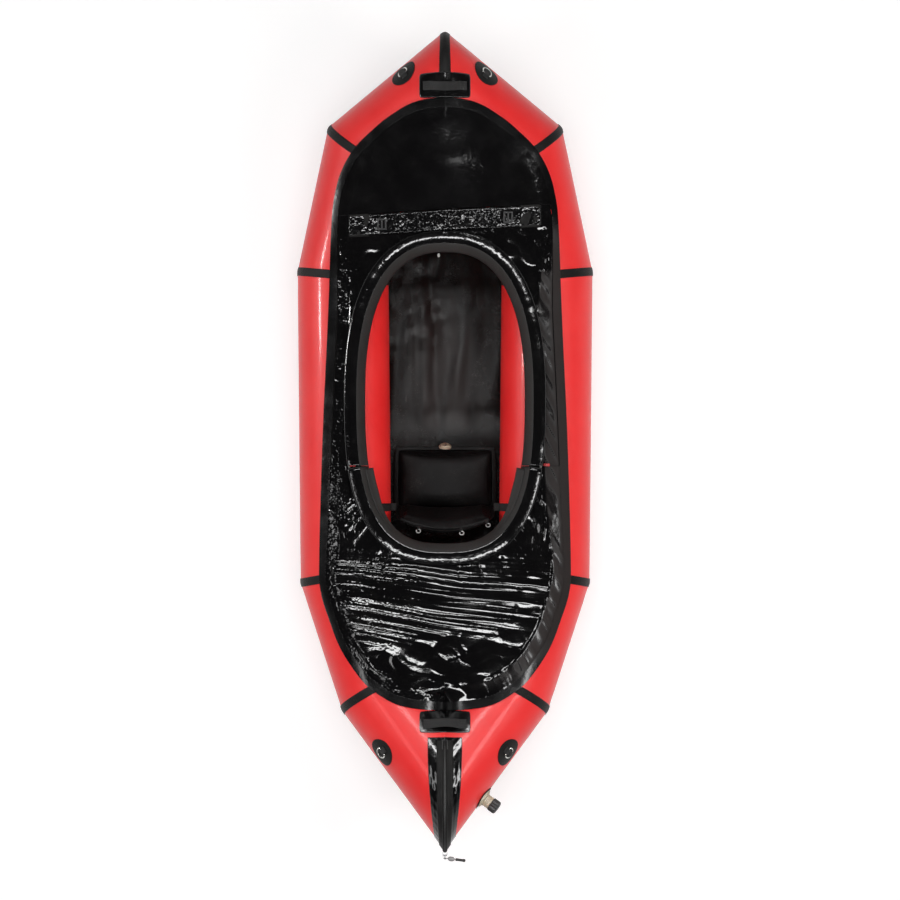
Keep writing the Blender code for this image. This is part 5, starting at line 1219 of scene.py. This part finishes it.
chain_lift = zip_tape_lift + zip_tape_thickness + chain_rise
chain_foot = over_seam(tape_round, np.zeros(1), 0.0)[0]
chain_steps = int(np.linalg.norm(np.diff(chain_foot, axis=0), axis=1).sum() / tooth_pitch)
chain_round = np.linspace(zip_first + 2.4 * zip_margin, zip_last - zip_margin, chain_steps)
chain, foot = (over_seam(chain_round, np.zeros(1), lift)[0] for lift in (chain_lift, 0.0))
teeth = bmesh.new()
for k in range(1, chain_steps - 1):
    way = Vector(chain[k + 1] - chain[k - 1]).normalized()
    out = Vector(chain[k] - foot[k]).normalized()
    across = way.cross(out)
    sized = Matrix((across * tooth_size[0], way * tooth_size[1], out * tooth_size[2]))
    place = sized.transposed().to_4x4()
    place.translation = Vector(chain[k]) + across * (tooth_shift if k % 2 else -tooth_shift)
    bmesh.ops.create_cube(teeth, size=1, matrix=place)
fit_out(skin("zip_teeth", teeth, toggle_rubber, sharp=math.radians(30)), "hull", "black_plastic")

arch = [(dock_half * math.cos(t), -0.6 * dock_half * math.sin(t)) for t in np.linspace(0, math.pi, 15)]
arch = [(dock_half, dock_leg)] + arch + [(-dock_half, dock_leg)]
dock_line = [over_seam([zip_first + 1.9 * zip_margin + s / tube_radius], [d],
                       zip_tape_lift + zip_tape_thickness + dock_lift)[0, 0] for d, s in arch]
dock = bmesh.new()
swept(dock, dock_line, dock_wire, 10)
fit_out(skin("zip_dock", dock, toggle_rubber), "hull", "black_plastic")
dress(slider_metal, "zip_slider")

eye_centre = Vector((0, -1.29837, 0.36989))
slider_out = Vector((0, -0.94142, 0.33722))
pull_way = Vector((0.78801, -0.20762, -0.57960))
pull_grip = turned("zip_pull_grip",
                   [(0, 0.0052), (0.0016, 0.0052), (0.0016, 0.0140), (0.0034, 0.0142), (0.0052, 0.0156),
                    (0.0068, 0.0180), (0.0060, 0.0192), (0.0073, 0.0206), (0.0075, 0.0222),
                    (0.0064, 0.0236), (0.0075, 0.0250), (0.0075, 0.0268), (0.0064, 0.0282),
                    (0.0073, 0.0296), (0.0070, 0.0316), (0.0058, 0.0330), (0.0056, 0.0352),
                    (0.0036, 0.0376), (0.0016, 0.0380), (0.0016, 0.0440), (0, 0.0440)],
                   eye_centre, pull_way, grip_rubber, steps=32)
eye_ring = bmesh.new()
eye_across = slider_out.cross(pull_way).normalized()
eye_along = eye_across.cross(slider_out)
swept(eye_ring, [eye_centre + 0.0041 * (eye_across * math.cos(t) + eye_along * math.sin(t))
                 for t in np.linspace(0, 2 * math.pi, 24, endpoint=False)], 0.0011, 8, closed=True)
fit_out(pull_grip, "pull", "grey_plastic", "zip_pull")
fit_out(skin("zip_pull_eye", eye_ring, toggle_rubber), "pull", "black_plastic")
pull_toggle = turned("zip_pull_toggle",
                     [(0, 0.0436), (0.0036, 0.0440), (0.0046, 0.0450), (0.0048, 0.0480),
                      (0.0042, 0.0500), (0.0042, 0.0720), (0.0048, 0.0740), (0.0050, 0.0770),
                      (0.0046, 0.0792), (0.0036, 0.0800), (0, 0.0800)],
                     eye_centre, pull_way, toggle_rubber, steps=24)
fit_out(pull_toggle, "pull", "black_plastic")

# Seat: an air pad of the floor's cloth, pinched along its welded rim, with a beige turn valve
# in its front edge. Air pressure is simulated as cloth and held to the pad's own space.
seat_half, seat_depth, seat_front = 0.182, 0.250, 0.012
seat_thickness, seat_edge, seat_base, pad_cuts = 0.072, 0.046, 0.0014, 15
pad_corner, pad_draw, pad_lean, rim_thickness = 0.05, 0.007, 0.015, 0.0010
rim_draw, pad_voxel, swell_room = 0.008, 0.0055, 0.007
pad_cloth = finish("black_pad_cloth", (0.0040, 0.0038, 0.0040), (0.0085, 0.0080, 0.0082), 0.42,
                   spread=0.06, bump=0.35, threads=820.0, dust=0.35, specular=0.12)


def crown(a, b):
    """How much of its swell a pad has: all at its middle, none along its rim."""
    return 1 - (1 - (1 - a * a) * (1 - b * b)) ** 2


def rim(a, b, level):
    """How far a pad draws in above and below its rim."""
    return rim_draw * abs(2 * level - 1) ** 3 * max(abs(a), abs(b)) ** 2


def pad(name, shape, reach, floor_level):
    """A block of points drawn to a pad's shape and blown up by a cloth simulation, each point
    by no more than the reach and never below the floor's level."""
    bm = bmesh.new()
    bmesh.ops.create_cube(bm, size=2)
    bmesh.ops.subdivide_edges(bm, edges=bm.edges, cuts=pad_cuts, use_grid_fill=True)
    for vert in bm.verts:
        vert.co = shape(*vert.co)
    bmesh.ops.recalc_face_normals(bm, faces=bm.faces)
    made = skin(name, bm, pad_cloth)
    remesh = made.modifiers.new("remesh", "REMESH")
    remesh.mode = "VOXEL"
    remesh.voxel_size = pad_voxel
    settle(made)
    rest = np.array([v.co for v in made.data.vertices])
    cloth = made.modifiers.new("cloth", "CLOTH").settings
    cloth.use_pressure = True
    cloth.uniform_pressure_force = 4.0
    cloth.effector_weights.gravity = 0
    cloth.tension_stiffness = cloth.compression_stiffness = 12
    cloth.bending_stiffness = 0.3
    for step in range(1, 21):
        bpy.context.scene.frame_set(step)
    settle(made)
    bpy.context.scene.frame_set(1)
    moved = np.array([v.co for v in made.data.vertices]) - rest
    far = np.maximum(np.linalg.norm(moved, axis=1, keepdims=True), 1e-9)
    rest += moved * np.minimum(1, reach / far)
    rest[:, 2] = np.maximum(rest[:, 2], floor_level)
    made.data.vertices.foreach_set("co", rest.ravel())
    rounder = made.modifiers.new("rounder", "SUBSURF")
    rounder.levels = rounder.render_levels = 1
    made.data.shade_smooth()
    return made


def settle(made):
    """Turn a piece's modifiers into its own mesh."""
    graph = bpy.context.evaluated_depsgraph_get()
    mesh = bpy.data.meshes.new_from_object(made.evaluated_get(graph))
    made.modifiers.clear()
    old, made.data = made.data, mesh
    bpy.data.meshes.remove(old)


def rim_band(name, shape, inner, outer, facing, body):
    """The welded rim: a flat band round a pad at half its thickness."""
    way = np.linspace(0, 2 * math.pi, 145)
    reach = np.maximum(np.abs(np.cos(way)), np.abs(np.sin(way)))
    corners = np.stack((np.cos(way), np.sin(way)), 1) / reach[:, None]
    corners = corners / (1 + 0.12 * (1 - reach))[:, None]
    shares = np.linspace(inner, outer, 5)
    points = np.array([[shape(a * s, b * s, 0.0) for s in shares] for a, b in corners])
    band = laid_sheet(name, points, facing, pad_cloth, rim_thickness, weld=True)
    fit_out(band, body, "satin_black_floor")


def seat_shape(a, b, c, shrink=0.0):
    """The seat's surface: across, fore and aft and up, each from -1 to 1."""
    level = (c + 1) / 2
    inset = rim(a, b, level) + pad_lean * level + shrink
    half_x = seat_half - pad_draw * (1 - b * b) - inset
    half_y = seat_depth / 2 - pad_draw * (1 - a * a) - inset
    thick = seat_edge + (seat_thickness - seat_edge) * crown(a, b) - 2 * shrink
    return Vector((half_x * a * (1 - pad_corner * b ** 4),
                   seat_front - seat_depth / 2 + half_y * b * (1 - pad_corner * a ** 4),
                   seat_base + shrink + thick * level))


seat = pad("seat_pad", lambda a, b, c: seat_shape(a, b, c, swell_room), 0.008, seat_base)
fit_out(seat, "hull", "satin_black_floor", "seat_cushion")
rim_band("seat_rim", seat_shape, 0.93, 1.015, (0, 0, 1), "hull")

seat_valve_root, seat_valve_axis = Vector((0, -0.00194, 0.02452)), Vector((0, 0.92718, 0.37461))
seat_valve = turned("seat_valve_moulding",
                    [(0, 0.0092), (0.0046, 0.0092), (0.0054, 0.0099), (0.0146, 0.0099), (0.0158, 0.0088),
                     (0.0160, 0.0054), (0.0196, 0.0050), (0.0208, 0.0042), (0.0210, 0.0014), (0.0204, 0.0),
                     (0, 0.0)],
                    seat_valve_root, seat_valve_axis, pale_plastic)
fit_out(seat_valve, "seat_valve_knob", "beige_plastic", "seat_valve")
tie = bmesh.new()
tie_up = Vector((0, -0.37461, 0.92718))
tie_points = [seat_valve_root + seat_valve_axis * (0.0112 + 0.002 * math.sin(3 * t))
              + tie_up * (0.010 * t - 0.002) + Vector((0.0036 * math.sin(2.4 * t), 0, 0))
              for t in np.linspace(0, 1.7, 14)]
swept(tie, tie_points, 0.0012, 8)
fit_out(skin("seat_valve_tie", tie, toggle_rubber), "seat_valve_knob", "black_webbing")

# Backrest: a second air pad that leans back from the seat's rear edge, drawn forward at its
# sides, with grey cord hooks along its top and webbing from its sides to the tubes.
back_half, back_height, back_thickness, back_edge = 0.158, 0.190, 0.046, 0.026
back_lean, back_wrap, back_low_wrap = math.radians(20), 0.036, 0.35
back_root = Vector((0, -0.205, 0.0793))
hook_radius, hook_wire, hook_stand, hook_turn = 0.0068, 0.0017, 0.0150, 5.2
hook_tab_width, hook_tab_length, hook_tab_thickness = 0.010, 0.016, 0.0010
hook_plastic = finish("grey_hook_plastic", (0.42, 0.42, 0.42), (0.54, 0.54, 0.53), 0.35, dust=0.3)


def back_shape(a, b, c, shrink=0.0):
    """The backrest's surface, in the same way, leant back and wrapped forward at its sides."""
    level = (c + 1) / 2
    inset = rim(a, b, level) + shrink
    rise = (b + 1) / 2
    thick = back_edge + (back_thickness - back_edge) * crown(a, b) - 2 * shrink
    wrap = back_low_wrap + (1 - back_low_wrap) * rise
    height = (back_height / 2 + (back_height / 2 - inset) * b) * (1 - pad_corner * a ** 4)
    forward = back_wrap * wrap * a * a + thick * c / 2
    spot = Vector(((back_half - inset) * a * (1 - pad_corner * b ** 4), forward, height))
    return Matrix.Rotation(back_lean, 3, "X") @ spot + back_root


backrest = pad("backrest_pad", lambda a, b, c: back_shape(a, b, c, swell_room * 0.8), 0.006,
               back_root.z - 0.004)
fit_out(backrest, "back_support", "satin_black_floor", "backrest")
rim_band("backrest_rim", back_shape, 0.93, 1.02, (0, 1, 0), "back_support")

for number, x in enumerate((-0.087, 0.0545, 0.141), 1):
    top = back_shape(x / back_half, 0.97, 0.0)
    out = Vector((0.25 * x / back_half, -0.80, 0.60)).normalized()
    across = Vector((0, 0.6, 0.8)).cross(out).normalized()
    hook, tab = bmesh.new(), bmesh.new()
    swept(hook, [top + out * (hook_stand - hook_radius * math.cos(t)) + across * hook_radius * math.sin(t)
                 for t in np.linspace(0.0, hook_turn, 22)], hook_wire, 8)
    fit_out(skin(f"cord_hook_{number}", hook, hook_plastic), "back_support", "grey_plastic")
    bmesh.ops.create_grid(tab, x_segments=4, y_segments=6, size=0.5)
    for vert in tab.verts:
        vert.co = top + across * vert.co.x * hook_tab_width + out * (vert.co.y * hook_tab_length + 0.003)
    fit_out(skin(f"hook_tab_{number}", tab, webbing_finish, hook_tab_thickness), "back_support",
            "black_webbing")

strap_y, strap_wide, strap_thick, strap_lift = -0.196, 0.025, 0.0020, 0.0011
strap_first, strap_last, wrap_share = math.radians(-48), math.radians(-84), 0.75
for side, label in ((1, "starboard"), (-1, "port")):
    panel = FRONT_SIDE if side > 0 else panels - 1 - FRONT_SIDE
    corner = REAR_SIDE if side > 0 else panels - REAR_SIDE
    reach = tube_radius + strap_lift
    grid = np.zeros((34, 9, 3))
    for i, share in enumerate(np.linspace(0, 1, 34)):
        for j, v in enumerate(np.linspace(-0.5, 0.5, 9)):
            wrapped = min(share / wrap_share, 1.0)
            out = radial(panel, strap_first + (strap_last - strap_first) * wrapped) * reach
            foot = ring[corner] + out
            y = strap_y + v * strap_wide
            spot = foot + ways[panel] * ((y - foot.y) / ways[panel].y)
            over = max(0.0, (share - wrap_share) / (1 - wrap_share))
            end = Vector((side * (back_half + 0.0004), y, spot.z))
            grid[i, j] = spot.lerp(end, over) + Vector((0, 0, -0.002 * math.sin(math.pi * over)))
    strap = laid_sheet(f"backrest_strap_{label}_webbing", grid, (-side, 0, 0.3), webbing_finish,
                       strap_thick)
    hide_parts(f"backrest_strap_{label}")
    settle(strap)
    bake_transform(strap)

# Floor seam: a strip of matte tape welded to the tubes' underside, all round the floor cloth and
# 17 mm outside its edge.
seam = bmesh.new()
seam.from_mesh(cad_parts["floor_tape"].data)
seam.transform(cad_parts["floor_tape"].matrix_world)
bmesh.ops.remove_doubles(seam, verts=seam.verts, dist=1e-6)
fit_out(skin("floor_tape_cloth", seam, tape_cloth), "hull", "matte_black_tape", "floor_tape")

# Flap seals: hook-and-loop strips on the tubes under the flap's sides, and a matte patch under
# each end of its two cross joints, to hide the tubes' red there.
seal_lift, seal_patch_lift, seal_thickness, seal_over = 0.0020, 0.0012, 0.0006, 0.012
seal_near, seal_far, seal_half = 0.0265, 0.061, 0.016
seal_points, _, seal_run = deck_rays(6, np.array((0.0, 1.0)))
seal_edge = seal_points[:, 0, :2]
seal_way = (seal_points[:, 1, :2] - seal_edge) / seal_run[:, :1]
for side, label in ((1, "starboard"), (-1, "port")):
    kept = ((seal_edge[:, 0] * side > 0) & (seal_edge[:, 1] > split_y - seal_over)
            & (seal_edge[:, 1] < fold_y + seal_over))
    inward = np.linspace(seal_near, seal_far, 6)[None, :, None]
    flat = seal_edge[kept][:, None] + seal_way[kept][:, None] * inward
    grid = np.dstack((flat, tube_top(flat[..., 0], flat[..., 1], seal_lift)))
    seal = laid_sheet(f"closure_strip_{label}_cloth", grid, (0, 0, 1), tape_cloth, seal_thickness)
    fit_out(seal, "hull", "matte_black_tape", f"closure_strip_{label}")
    for joint, level, slope, inner, outer in (("fold", fold_y, fold_slope, 0.146, 0.354),
                                              ("split", split_y, 0.0, 0.268, 0.384)):
        x = side * np.linspace(inner, outer, 25)[:, None] + np.zeros((1, 5))
        y = level + slope * x + np.linspace(-seal_half, seal_half, 5)[None]
        spots = np.dstack((x, y, tube_top(x, y, seal_patch_lift)))
        under = laid_sheet(f"{joint}_seal_{label}", spots, (0, 0, 1), tape_cloth, seal_thickness)
        fit_out(under, "hull", "matte_black_tape")
